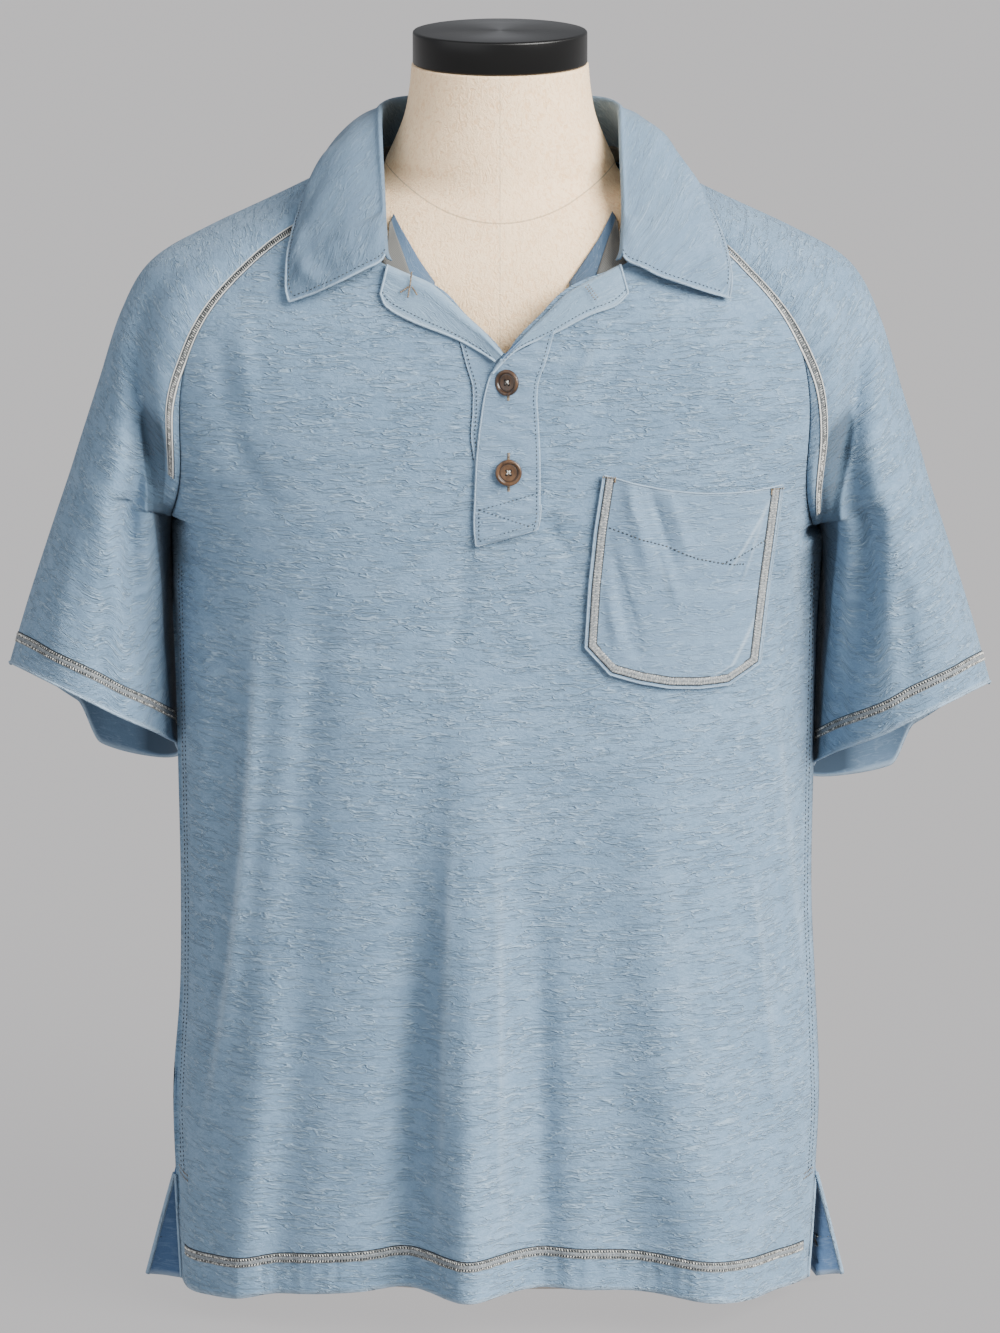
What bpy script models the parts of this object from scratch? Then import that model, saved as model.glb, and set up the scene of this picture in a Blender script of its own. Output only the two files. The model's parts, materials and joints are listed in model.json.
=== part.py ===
"""Polo shirt with raglan sleeves, standing filled out on a limbless countertop dress form.

Metres, +Z up. The shirt's front faces -Y and the wearer's left sleeve is at +X. The origin lies on
the surface that the plinth stands on. Every cloth piece is an open sheet worked out from its
sections, given its wall by Solidify.
"""

import math

import bmesh
import bpy
import numpy as np

# ---- driving dimensions ----
CLOTH = 0.0012  # wall of the jersey
TAPE = 0.0008  # wall of the neck tape and of the hidden placket strip
SEAM_GAP = 0.0006  # between two pieces that meet edge to edge
LAY_GAP = 0.0003  # between a piece and the panel that it lies on
UNDERARM_Z = 0.530  # where the raglan seams meet the side seam
VENT_TOP_Z = 0.083  # the side seams are open below this
HEM_BAND = 0.140  # the rows bend to the hem's line below this height
V_BOTTOM = (0.004, 0.655)  # x and z of the bottom of the open neck
SQUARENESS = 2.7  # exponent of the body's rounded-square sections

# The body's level sections: height, half-width on the wearer's right (-X) and left (+X),
# and how far the middle of the front and of the back stand from x = 0, y = 0.
BODY = {
    "z": (0.000, 0.083, 0.140, 0.210, 0.270, 0.360, 0.420, 0.470, 0.530),
    "right_w": (0.2120, 0.2165, 0.2176, 0.2125, 0.2115, 0.2125, 0.2135, 0.2155, 0.2165),
    "left_w": (0.2050, 0.2105, 0.2125, 0.2095, 0.2065, 0.2070, 0.2080, 0.2100, 0.2145),
}
DEPTH = {
    "z": (0.000, 0.100, 0.300, 0.450, 0.560, 0.620, 0.656, 0.690, 0.720, 0.745, 0.760),
    "front": (0.124, 0.126, 0.130, 0.132, 0.131, 0.127, 0.122, 0.115, 0.105, 0.092, 0.080),
    "back": (0.128, 0.128, 0.128, 0.130, 0.132, 0.132, 0.128, 0.116, 0.094, 0.070, 0.058),
}
# The rounded square that each panel's level section follows: its half-width, where its side
# stands, and how far round it the panel's seam is: 1 at the widest point, less where the panel
# still faces forward at its seam.
SECTION = {
    "z": (0.000, 0.083, 0.210, 0.400, 0.470, 0.530, 0.590, 0.630, 0.670, 0.700, 0.720, 0.738, 0.755),
    "half": (0.212, 0.214, 0.211, 0.211, 0.213, 0.216, 0.214, 0.208, 0.193, 0.166, 0.142, 0.104, 0.090),
    "front": (0.012, 0.012, 0.010, 0.010, 0.014, 0.034, 0.068, 0.082, 0.080, 0.068, 0.057, 0.053, 0.050),
    "back": (-0.01, -0.01, -0.01, -0.01, 0.000, 0.030, 0.072, 0.086, 0.084, 0.072, 0.062, 0.053, 0.042),
    "share": (0.995, 0.995, 0.995, 0.995, 0.990, 0.970, 0.930, 0.900, 0.860, 0.840, 0.830, 0.820, 0.800),
}
EDGE_BAND = 0.040  # a panel bends to its seam within this distance of it
FOLD_HEM_Z = 0.020  # the long folds have their full height here
SEAM_Y = -0.012  # the side seams run just in front of the widest line

# Long folds that grow from nothing at their top to their full height at the hem: place and
# half-width of the fold at the hem and at the top, height of the top, and how far it stands out.
FRONT_FOLDS = (
    # hem_x, hem_w, top_x, top_w, top_z, out
    (-0.022, 0.024, -0.020, 0.034, 0.440, 0.034),
    (-0.078, 0.022, -0.045, 0.030, 0.420, -0.007),
    (0.027, 0.017, 0.012, 0.024, 0.400, -0.007),
    (0.135, 0.036, 0.088, 0.036, 0.430, 0.022),
    (-0.187, 0.020, -0.122, 0.022, 0.420, 0.010),
    (0.190, 0.014, 0.160, 0.014, 0.470, -0.006),
)
BACK_FOLDS = (
    (-0.130, 0.030, -0.095, 0.034, 0.480, 0.018),
    (-0.055, 0.022, -0.050, 0.030, 0.430, -0.008),
    (0.012, 0.030, 0.020, 0.034, 0.500, 0.020),
    (0.080, 0.022, 0.060, 0.030, 0.420, -0.007),
    (0.148, 0.030, 0.110, 0.034, 0.460, 0.016),
)

# Sections of a sleeve from the neck to the cuff. Each is an arc of an ellipse about an axis point
# (x outward, z). "ridge" is its outermost point, "front" and "back" are its half-depths with their
# lifts, and "reach" is the angle from the ridge to the seam: 180 where the sleeve is a whole tube.
SLEEVE = {
    "axis_x": (0.0880, 0.1300, 0.1665, 0.1932, 0.2085, 0.2210, 0.2420, 0.2508, 0.2590, 0.2660, 0.2710),
    "axis_z": (0.7380, 0.7270, 0.7014, 0.6704, 0.6320, 0.5900, 0.5550, 0.5430, 0.4900, 0.4450, 0.4010),
    "ridge_x": (0.0930, 0.1360, 0.1930, 0.2290, 0.2480, 0.2625, 0.2755, 0.2825, 0.2960, 0.3110, 0.3234),
    "ridge_z": (0.7570, 0.7390, 0.7155, 0.6945, 0.6624, 0.6180, 0.5780, 0.5560, 0.5160, 0.4700, 0.4280),
    "front": (0.052, 0.052, 0.067, 0.082, 0.086, 0.086, 0.084, 0.083, 0.080, 0.077, 0.074),
    "back": (0.042, 0.054, 0.070, 0.084, 0.090, 0.090, 0.088, 0.086, 0.083, 0.080, 0.077),
    "front_lift": (0.000, 0.000, 0.000, 0.000, 0.000, 0.000, 0.002, 0.004, 0.009, 0.014, 0.019),
    "back_lift": (0.015, 0.007, 0.002, 0.000, 0.000, -0.004, -0.010, -0.016, -0.027, -0.036, -0.043),
    "reach": (90.0, 90.0, 90.0, 90.0, 94.0, 110.0, 146.0, 180.0, 180.0, 180.0, 180.0),
    "crease_at": (-30.0, -30.0, -32.0, -38.0, -46.0, -74.0, -100.0, -108.0, -126.0, -138.0, -148.0),
    "crease_in": (0.000, 0.000, 0.002, 0.008, 0.014, 0.018, 0.020, 0.018, 0.012, 0.008, 0.005),
}
CREASE_WIDTH = 15.0  # degrees either side of the crease's bottom
UNDERARM_ROW = 7  # the sleeve is a whole tube from this section on
LEFT_SLEEVE_DROP = 0.013  # the wearer's left cuff hangs this much lower
LEFT_RAGLAN_IN = 0.006  # and its raglan seams run this much nearer to the placket

# The neck's edge on the front panel: height, x on the wearer's right and left.
NECK_EDGE = {
    "z": (0.655, 0.663, 0.681, 0.701, 0.714, 0.726, 0.738),
    "right_x": (0.0040, -0.0020, -0.0211, -0.0440, -0.0785, -0.0845, -0.0870),
    "left_x": (0.0040, 0.0080, 0.0250, 0.0490, 0.0842, 0.0870, 0.0870),
}

# The collar from its front end to the middle of the back: seam, roll line and leaf's edge.
COLLAR_RIGHT = (
    # seam x, y, z, roll x, y, z, edge x, y, z
    (-0.0690, -0.1005, 0.7140, -0.0733, -0.1060, 0.7190, -0.1345, -0.1015, 0.6862),
    (-0.0785, -0.0855, 0.7275, -0.0752, -0.0750, 0.7500, -0.1365, -0.0940, 0.6970),
    (-0.0835, -0.0580, 0.7400, -0.0774, -0.0450, 0.7775, -0.1335, -0.0680, 0.7240),
    (-0.0885, -0.0260, 0.7530, -0.0785, -0.0150, 0.7965, -0.1265, -0.0360, 0.7410),
    (-0.0885, 0.0020, 0.7560, -0.0768, 0.0140, 0.7985, -0.1195, 0.0010, 0.7490),
    (-0.0780, 0.0340, 0.7570, -0.0650, 0.0410, 0.7985, -0.1040, 0.0500, 0.7460),
    (-0.0450, 0.0530, 0.7560, -0.0370, 0.0590, 0.7975, -0.0600, 0.0840, 0.7410),
    (0.0000, 0.0585, 0.7560, 0.0000, 0.0650, 0.7970, 0.0000, 0.0930, 0.7390),
)
COLLAR_LEFT = (
    (0.0740, -0.1000, 0.7140, 0.0784, -0.1060, 0.7190, 0.1470, -0.0980, 0.6885),
    (0.0815, -0.0840, 0.7275, 0.0798, -0.0750, 0.7480, 0.1480, -0.0880, 0.7030),
    (0.0860, -0.0570, 0.7400, 0.0790, -0.0450, 0.7760, 0.1420, -0.0620, 0.7250),
    (0.0890, -0.0260, 0.7530, 0.0785, -0.0150, 0.7965, 0.1320, -0.0330, 0.7390),
    (0.0885, 0.0020, 0.7560, 0.0768, 0.0140, 0.7985, 0.1225, 0.0010, 0.7480),
    (0.0780, 0.0340, 0.7570, 0.0650, 0.0410, 0.7985, 0.1040, 0.0500, 0.7460),
    (0.0450, 0.0530, 0.7560, 0.0370, 0.0590, 0.7975, 0.0600, 0.0840, 0.7410),
    (0.0000, 0.0585, 0.7560, 0.0000, 0.0650, 0.7970, 0.0000, 0.0930, 0.7390),
)
NECK_AXIS = (0.0, -0.010, 0.0)
LEAF_CLEAR = 0.0030  # from the shoulders up to the leaf's face
LEAF_CLEAR_PLACKET = 0.0064  # and where it lies on the turned-out placket

# The placket's turned-out tops, from the bottom of the open neck to the collar.
TURN_RIGHT = (
    # roll x, z, free edge x, z
    (0.0020, 0.6580, -0.0030, 0.6530),
    (-0.0080, 0.6690, -0.0130, 0.6590),
    (-0.0211, 0.6809, -0.0297, 0.6675),
    (-0.0429, 0.7000, -0.0561, 0.6775),
    (-0.0620, 0.7080, -0.0720, 0.6860),
    (-0.0720, 0.7120, -0.0765, 0.6940),
)
TURN_LEFT = (
    (0.0040, 0.6570, 0.0010, 0.6470),
    (0.0152, 0.6690, 0.0198, 0.6585),
    (0.0297, 0.6830, 0.0370, 0.6700),
    (0.0430, 0.6954, 0.0595, 0.6790),
    (0.0640, 0.7060, 0.0740, 0.6850),
    (0.0770, 0.7120, 0.0820, 0.6940),
)
# The placket's outer strip: height, left and right edge of the strip as seen from the front.
PLACKET = {
    "z": (0.5335, 0.5450, 0.5650, 0.5960, 0.6150, 0.6300, 0.6420, 0.6500),
    "near_x": (-0.0155, -0.0165, -0.0160, -0.0145, -0.0118, -0.0073, -0.0025, 0.0020),
    "far_x": (0.0215, 0.0255, 0.0264, 0.0264, 0.0252, 0.0246, 0.0272, 0.0310),
}
PLACKET_SLANT = 0.0110  # the strip's bottom rises this much from its corner to the far edge
UNDER_STRIP = (-0.0255, 0.0100, 0.5400, 0.6520)  # near x, far x, bottom and top z

# The pocket's outline on the front panel: corners of its sides and of its mouth.
POCKET = {
    "down": (0.00, 0.25, 0.50, 0.72, 0.86, 1.00),
    "near_x": (0.0668, 0.0612, 0.0570, 0.0552, 0.0590, 0.0735),
    "near_z": (0.5790, 0.5440, 0.5080, 0.4690, 0.4560, 0.4470),
    "far_x": (0.1815, 0.1775, 0.1735, 0.1695, 0.1640, 0.1490),
    "far_z": (0.5680, 0.5350, 0.5000, 0.4660, 0.4490, 0.4400),
}
POCKET_SAG = 0.008  # how far the middle of the mouth hangs below the line of its corners

BUTTON_RADIUS = 0.0085
BUTTON_THICK = 0.0032
BUTTON_PLACES = (("button_upper", 0.0056, 0.6395), ("button_lower", 0.0057, 0.5800))

# The dress form: height, half-width, and how far its front and back stand from the middle.
FORM = {
    "z": (0.022, 0.100, 0.220, 0.340, 0.440, 0.540, 0.620, 0.670, 0.694, 0.712, 0.722,
          0.733, 0.741, 0.748, 0.756, 0.766, 0.778, 0.792, 0.810, 0.826),
    "half": (0.135, 0.152, 0.158, 0.152, 0.158, 0.172, 0.178, 0.178, 0.176, 0.166, 0.156,
             0.132, 0.111, 0.088, 0.078, 0.0735, 0.0680, 0.0625, 0.0590, 0.0575),
    "front": (0.060, 0.078, 0.086, 0.088, 0.094, 0.103, 0.104, 0.101, 0.098, 0.093, 0.088,
              0.083, 0.078, 0.073, 0.0695, 0.0670, 0.0645, 0.0615, 0.0590, 0.0575),
    "back": (0.106, 0.112, 0.112, 0.108, 0.110, 0.114, 0.116, 0.108, 0.098, 0.086, 0.078,
             0.068, 0.058, 0.050, 0.0475, 0.0480, 0.0520, 0.0560, 0.0575, 0.0575),
}
SHOULDER_SHAPE = {
    "z": (0.022, 0.600, 0.680, 0.730, 0.755, 0.780, 0.826),
    "exponent": (2.5, 2.5, 2.2, 1.7, 1.75, 2.0, 2.0),
}
CAP_RADIUS = 0.0568
CAP_BOTTOM_Z = 0.8264
CAP_TOP_Z = 0.8480
PLINTH_HALF = 0.100
PLINTH_FRONT_Y = -0.010
PLINTH_BACK_Y = 0.100
PLINTH_HEIGHT = 0.0217

# ---- how fine the sheets are ----
FRONT_COLUMNS = 16  # on each side of the middle
BACK_COLUMNS = 12
ROWS_BELOW = 14  # of the body panels, below the underarm
CAP_ROWS = 12  # of the sleeves and body panels, from the neck to the underarm
TUBE_ROWS = 5  # of the sleeves below the underarm
SLEEVE_COLUMNS = 20
COLLAR_STATIONS = 16  # on each side

LIGHT_BLUE = (0.275, 0.405, 0.515)
GREY_TWILL = (0.250, 0.255, 0.250)
HORN = (0.105, 0.045, 0.018)
LINEN = (0.740, 0.680, 0.580)
BLACK = (0.012, 0.012, 0.013)


# ---- the scene ----
def clear_scene():
    """Remove every object that is in the scene."""
    for old in list(bpy.data.objects):
        bpy.data.objects.remove(old, do_unlink=True)


def make_collection(name, hidden=False):
    """A collection in the scene; a hidden one holds cutters."""
    made = bpy.data.collections.new(name)
    made.hide_render = hidden
    bpy.context.scene.collection.children.link(made)
    return made


def make_material(name, colour, roughness, metallic=0.0):
    """A Principled material of one colour."""
    material = bpy.data.materials.new(name)
    material.use_nodes = True
    shader = material.node_tree.nodes["Principled BSDF"]
    shader.inputs["Base Color"].default_value = (*colour, 1.0)
    shader.inputs["Roughness"].default_value = roughness
    shader.inputs["Metallic"].default_value = metallic
    material.diffuse_color = (*colour, 1.0)
    return material


# ---- smooth curves through the tables ----
def through(places, values, at):
    """Catmull-Rom curve through (places, values), read at the places `at`."""
    places = np.asarray(places, float)
    values = np.asarray(values, float)
    at = np.clip(np.asarray(at, float), places[0], places[-1])
    slopes = np.gradient(values, places)
    i = np.clip(np.searchsorted(places, at, side="right") - 1, 0, len(places) - 2)
    step = places[i + 1] - places[i]
    t = (at - places[i]) / step
    hermite = (
        (2.0 * t**3 - 3.0 * t**2 + 1.0) * values[i]
        + (t**3 - 2.0 * t**2 + t) * step * slopes[i]
        + (3.0 * t**2 - 2.0 * t**3) * values[i + 1]
        + (t**3 - t**2) * step * slopes[i + 1]
    )
    return hermite


def read(table, column, at, key="z"):
    """The value of one named column of a table at a place."""
    return through(table[key], table[column], at)


# ---- sleeves ----
def sleeve_point(side, along, angle):
    """Point of a sleeve: side -1 or +1, section number, degrees from the ridge (front is < 0)."""
    rows = np.arange(len(SLEEVE["reach"]))
    get = {name: through(rows, SLEEVE[name], along) for name in SLEEVE}
    down = max(side, 0) * LEFT_SLEEVE_DROP * np.clip((along - 3.0) / 7.0, 0.0, 1.0)
    inward = max(side, 0) * LEFT_RAGLAN_IN * np.clip(np.minimum(along, 8.0 - along) / 2.0, 0.0, 1.0)
    turn = np.radians(angle)
    half = np.where(angle < 0.0, get["front"], get["back"])
    lift = np.where(angle < 0.0, get["front_lift"], get["back_lift"])
    dent = get["crease_in"] * np.exp(-(((angle - get["crease_at"]) / CREASE_WIDTH) ** 2))
    shrink = 1.0 - dent / half
    out_x = get["ridge_x"] - get["axis_x"]
    out_z = get["ridge_z"] - get["axis_z"]
    x = get["axis_x"] - inward + (out_x + inward) * np.cos(turn) * (1.0 - 0.5 * dent / half)
    y = half * np.sin(turn) * shrink
    z = get["axis_z"] - down + out_z * np.cos(turn) + lift * np.abs(np.sin(turn))
    return np.stack([side * x, y, z], axis=-1)


def seam_reach(along):
    """Angle from the ridge to the raglan seam; 180 closes the sleeve into a tube."""
    reach = through(np.arange(len(SLEEVE["reach"])), SLEEVE["reach"], along)
    return np.where(along >= UNDERARM_ROW, 180.0, np.minimum(reach, 178.0))


def sleeve_grid(side):
    """The sleeve's outer points, a row for each section."""
    tube = np.linspace(UNDERARM_ROW, len(SLEEVE["reach"]) - 1, TUBE_ROWS + 1)
    along = np.concatenate([CAP_ALONG, tube[1:]])[:, None]
    share = np.linspace(-1.0, 1.0, SLEEVE_COLUMNS + 1)[None, :]
    return sleeve_point(side, along + 0.0 * share, seam_reach(along) * share)


def raglan_seam(side, front):
    """The body panel's edge along a raglan seam, from the underarm up to the neck."""
    along = CAP_ALONG[::-1]
    reach = seam_reach(along) * (-1.0 if front else 1.0)
    seam = sleeve_point(side, along, reach)
    away = seam - sleeve_point(side, along, reach * (1.0 - 2.0 / SLEEVE_COLUMNS))
    away /= np.linalg.norm(away, axis=-1, keepdims=True)
    away[0] = (-side, -1.0 if front else 1.0, -1.0)
    return seam + SEAM_GAP * away


# ---- the body ----
def edge_at(side, front, z):
    """Half-width and y of the body panel's edge at a height: side seam, then raglan seam."""
    seam = SEAMS[side, front]
    low_w = read(BODY, "left_w" if side > 0 else "right_w", z)
    open_vent = np.clip((VENT_TOP_Z - z) / VENT_TOP_Z, 0.0, 1.0)
    seam_y = SEAM_Y * np.clip((UNDERARM_Z - z) / 0.10, 0.0, 1.0)
    if front:
        low_y = seam_y - SEAM_GAP - 0.012 * open_vent
    else:
        low_w = low_w + 0.026 * open_vent
        low_y = seam_y + SEAM_GAP + 0.024 * open_vent
    above = z >= seam[0, 2]
    width = np.where(above, np.interp(z, seam[:, 2], np.abs(seam[:, 0])), low_w)
    depth = np.where(above, np.interp(z, seam[:, 2], seam[:, 1]), low_y)
    return width, depth


def fold_heights(folds, x, z):
    """How far the long folds stand out at x, z."""
    out = np.zeros(np.broadcast(x, z).shape)
    for hem_x, hem_w, top_x, top_w, top_z, height in folds:
        grown = np.clip((top_z - z) / (top_z - FOLD_HEM_Z), 0.0, 1.0)
        centre = top_x + (hem_x - top_x) * grown
        width = top_w + (hem_w - top_w) * grown
        out = out + height * grown * np.exp(-(((x - centre) / width) ** 2))
    return out


def section_depth(x, z, front):
    """The rounded square of a panel's level section, without its folds."""
    n = SQUARENESS
    middle = read(DEPTH, "front" if front else "back", z)
    side_out = read(SECTION, "front" if front else "back", z)
    share = np.minimum(read(SECTION, "share", z), 0.995)
    fall = (1.0 - share**n) ** (1.0 / n)
    centre = (side_out - middle * fall) / (1.0 - fall)
    ratio = np.clip(np.abs(x) / read(SECTION, "half", z) * share, 0.0, 0.995)
    return centre + (middle - centre) * (1.0 - ratio**n) ** (1.0 / n)


def body_depth(x, z, front):
    """How far the front (or back) panel stands from y = 0 at x, z.

    It follows the level section, bends to its seam in a band beside it, and has the long folds.
    """
    x = np.asarray(x, float)
    z = np.asarray(z, float)
    sign = -1.0 if front else 1.0
    smooth = section_depth(x, z, front)
    folds = fold_heights(FRONT_FOLDS if front else BACK_FOLDS, x, z)
    total = np.zeros(np.broadcast(x, z).shape)
    for side in (-1, 1):
        edge_w, edge_y = edge_at(side, front, z)
        inside = np.clip((edge_w - np.abs(x)) / EDGE_BAND, 0.0, 1.0)
        fade = inside * inside * (3.0 - 2.0 * inside)
        bend = sign * edge_y - section_depth(edge_w, z, front)
        depth = smooth + (1.0 - fade) * bend + fade * folds
        total = np.where(x * side >= 0.0, depth, total)
    return total


def on_front(x, z, out=0.0):
    """Points on the front panel's outer face, moved out toward -Y."""
    y = -body_depth(x, z, True) - out
    return np.stack([np.asarray(x, float) + 0.0 * y, y, np.asarray(z, float) + 0.0 * y], axis=-1)


def front_hem_z(x):
    """The front hem: highest in the middle, where the belly holds it off the form."""
    return 0.0340 - 0.0220 * np.clip(np.abs(x) / 0.208, 0.0, 1.0) ** 2.2


def back_hem_z(x):
    """The back hem, a little longer than the front."""
    return 0.0110 - 0.0060 * np.clip(np.abs(x) / 0.23, 0.0, 1.0) ** 2


def columns(inner, outer, count):
    """x of a row's points from an inner to an outer half-width, closer together at the side."""
    turn = np.linspace(0.0, 1.0, count + 1)
    spread = np.sin(turn * math.pi / 2.0)
    return inner + (outer - inner) * (0.70 * turn + 0.30 * spread)


def panel_half(side, front, rows_below, middles, neck_x, hem_z):
    """Points of half a body panel, a row at a time, from its middle or neck edge to its seam.

    `middles` are the heights of the rows' inner ends from the underarm up; their outer ends are
    the points of the raglan seam. Below, the rows share out the side seam.
    """
    seam = SEAMS[side, front]
    below = np.linspace(0.0, 1.0, rows_below + 1)[:-1]
    inner_z = np.concatenate([below * middles[0], middles])
    outer_z = np.concatenate([below * seam[0, 2], seam[:, 2]])
    rows = []
    for low, high in zip(inner_z, outer_z):
        inner = neck_x(side, low)
        outer = np.abs(edge_at(side, front, max(high, hem_z(0.21 * side)))[0])
        x = side * columns(inner, outer, FRONT_COLUMNS if front else BACK_COLUMNS)
        along = np.clip((np.abs(x) - np.abs(inner)) / max(outer - np.abs(inner), 1e-6), 0.0, 1.0)
        z = low + (high - low) * along
        z = z + np.clip(1.0 - z / HEM_BAND, 0.0, 1.0) * hem_z(x)
        y = body_depth(x, z, front) * (-1.0 if front else 1.0)
        rows.append(np.stack([x, y, z], axis=-1))
    return np.array(rows)


def front_neck_x(side, z):
    """Where a row of the front starts: at the middle, or at the open neck's edge."""
    if z <= V_BOTTOM[1]:
        return V_BOTTOM[0] * side
    return side * float(read(NECK_EDGE, "left_x" if side > 0 else "right_x", z))


def front_halves():
    """The front panel: whole below the open neck, two strips beside it."""
    seam_z = SEAMS[-1, True][:, 2]
    middles = seam_z.copy()
    middles[np.argmin(np.abs(seam_z - V_BOTTOM[1]))] = V_BOTTOM[1]
    right = panel_half(-1, True, ROWS_BELOW, middles, front_neck_x, front_hem_z)
    left = panel_half(1, True, ROWS_BELOW, middles, front_neck_x, front_hem_z)
    return [right[:, ::-1], left]


def back_halves():
    """The back panel, with its neck edge a little lower in the middle."""
    seam_z = SEAMS[-1, False][:, 2]
    middles = seam_z - 0.004 * np.clip((seam_z - 0.68) / 0.07, 0.0, 1.0)
    left = panel_half(1, False, ROWS_BELOW, middles, lambda side, z: 0.0, back_hem_z)
    right = panel_half(-1, False, ROWS_BELOW, middles, lambda side, z: 0.0, back_hem_z)
    return [left[:, ::-1], right]


CAP_ALONG = np.linspace(0.0, 1.0, CAP_ROWS + 1) * UNDERARM_ROW
SEAMS = {(side, front): raglan_seam(side, front) for side in (-1, 1) for front in (True, False)}


# ---- sheets and walls ----
def mesh_from_grids(name, grids, outward):
    """One mesh from grids of points that share edges; `outward` is +1 or -1 for its winding."""
    shape = bmesh.new()
    for grid in grids:
        made = [[shape.verts.new(point) for point in row] for row in grid]
        for low, high in zip(made, made[1:]):
            for a, b, c, d in zip(low, low[1:], high[1:], high):
                shape.faces.new((a, b, c, d) if outward > 0 else (d, c, b, a))
    bmesh.ops.remove_doubles(shape, verts=shape.verts, dist=0.00002)
    bmesh.ops.dissolve_degenerate(shape, edges=shape.edges, dist=0.00001)
    mesh = bpy.data.meshes.new(name)
    shape.to_mesh(mesh)
    shape.free()
    mesh.shade_smooth()
    return mesh


def add_object(name, mesh, material, collection):
    """An object for a mesh, with its material."""
    mesh.materials.append(material)
    made = bpy.data.objects.new(name, mesh)
    collection.objects.link(made)
    return made


def add_cloth(name, grids, outward, material, collection, thickness=CLOTH):
    """A cloth piece: an open sheet whose wall goes inward from its outer points."""
    made = add_object(name, mesh_from_grids(name, grids, outward), material, collection)
    wall = made.modifiers.new("wall", "SOLIDIFY")
    wall.thickness = thickness
    wall.offset = -1.0
    wall.use_even_offset = False
    return made


def add_body_panels(material, collection):
    """Front and back panels."""
    add_cloth("front", front_halves(), 1, material, collection)
    add_cloth("back", back_halves(), 1, material, collection)


def add_sleeves(material, collection):
    """The two raglan sleeves."""
    add_cloth("sleeve_right", [sleeve_grid(-1)], 1, material, collection)
    add_cloth("sleeve_left", [sleeve_grid(1)], -1, material, collection)


# ---- collar ----
def face_normals(grid):
    """Unit normals of a grid of points."""
    normal = np.cross(np.gradient(grid, axis=1), np.gradient(grid, axis=0))
    return normal / np.linalg.norm(normal, axis=-1, keepdims=True)


def shoulder_faces():
    """Points and outward normals of the cloth that the collar's leaf lies on."""
    z = np.linspace(0.67, 0.737, 36)[:, None]
    share = np.linspace(-1.0, 1.0, 80)[None, :]
    half = np.minimum(edge_at(1, True, z)[0], 0.20)
    front = on_front(share * half, z + 0.0 * share)
    half = np.minimum(edge_at(1, False, z + 0.013)[0], 0.20)
    x = -share * half
    back = np.stack([x, body_depth(x, z + 0.013 + 0.0 * x, False), z + 0.013 + 0.0 * x], axis=-1)
    along = np.linspace(0.0, 3.0, 40)[:, None]
    angle = np.linspace(-90.0, 90.0, 40)[None, :]
    right = sleeve_point(-1, along + 0.0 * angle, angle + 0.0 * along)
    left = sleeve_point(1, along + 0.0 * angle, -angle + 0.0 * along)
    points = [face.reshape(-1, 3) for face in (front, back, right, left)]
    normals = [face_normals(face).reshape(-1, 3) for face in (front, back, right, left)]
    return np.concatenate(points), np.concatenate(normals)


def resting_on(points, faces, clear):
    """The points, moved out along the nearest face's normal until they are clear of it."""
    places, normals = faces
    flat = points.reshape(-1, 3)
    near = np.argmin(((flat[:, None] - places[None]) ** 2).sum(-1), axis=1)
    off = ((flat - places[near]) * normals[near]).sum(-1)
    push = np.clip(np.ravel(clear) - off, 0.0, 0.020)
    return (flat + push[:, None] * normals[near]).reshape(points.shape)


def stand_top(roll, edge):
    """Where the stand meets the roll line, and the level direction away from the neck."""
    out = 0.5 * (roll + edge) - np.array(NECK_AXIS)
    out[2] = 0.0
    out /= np.linalg.norm(out)
    return roll - 0.0022 * out - np.array([0.0, 0.0, 0.003]), out


def collar_section(seam, roll, edge, front_end):
    """Points across the collar: up the stand, over the roll and down the leaf.

    The leaf is a curve pulled outward on its way down; at the collar's front ends (front_end 1,
    elsewhere 0) it drops first and then runs out to the point.
    """
    top, out = stand_top(roll, edge)
    up = np.array([0.0, 0.0, 1.0])
    leaf_top = roll + 0.0030 * out - 0.0030 * up
    points = [seam + (top - seam) * t for t in (0.0, 0.5, 1.0)]
    points.append(roll)
    bulge = leaf_top + (0.5 - 0.28 * front_end) * (edge - leaf_top)
    bulge += 0.014 * out + (0.008 - 0.016 * front_end) * up
    for t in (0.0, 0.25, 0.5, 0.75, 1.0):
        points.append((1 - t) ** 2 * leaf_top + 2 * t * (1 - t) * bulge + t**2 * edge)
    return points


def collar_stations():
    """Seam, roll and edge of the collar, from the wearer's right end round to the left end."""
    table = np.array(COLLAR_RIGHT + COLLAR_LEFT[-2::-1])
    rows = np.arange(len(table))
    at = np.linspace(0.0, len(table) - 1.0, 2 * COLLAR_STATIONS + 1)
    smooth = np.stack([through(rows, table[:, k], at) for k in range(9)], axis=-1)
    return smooth.reshape(-1, 3, 3)


def add_collar(material, tape_material, collection):
    """The collar in one piece, and the tape that covers its seam inside the neck."""
    stations = collar_stations()
    end = np.clip(np.abs(np.linspace(-1.0, 1.0, len(stations))) * 10.0 - 9.0, 0.0, 1.0)
    grid = np.array([collar_section(*station, e) for station, e in zip(stations, end)])
    leaf = grid[:, 4:]
    near_neck = np.clip((0.115 - np.abs(leaf[..., 0])) / 0.030, 0.0, 1.0) * (leaf[..., 1] < -0.06)
    clear = LEAF_CLEAR + (LEAF_CLEAR_PLACKET - LEAF_CLEAR) * near_neck
    grid[:, 4:] = resting_on(leaf, shoulder_faces(), clear)
    add_cloth("collar", [grid], -1, material, collection)
    tape = []
    for seam, roll, edge in stations[2:-2]:
        top, out = stand_top(roll, edge)
        rise = (top - seam) / np.linalg.norm(top - seam)
        foot = seam - out * (2.0 * LAY_GAP + TAPE)
        tape.append([foot + rise * h for h in (-0.001, 0.010)])
    add_cloth("neck_tape", [np.array(tape)], -1, tape_material, collection, TAPE)


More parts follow.
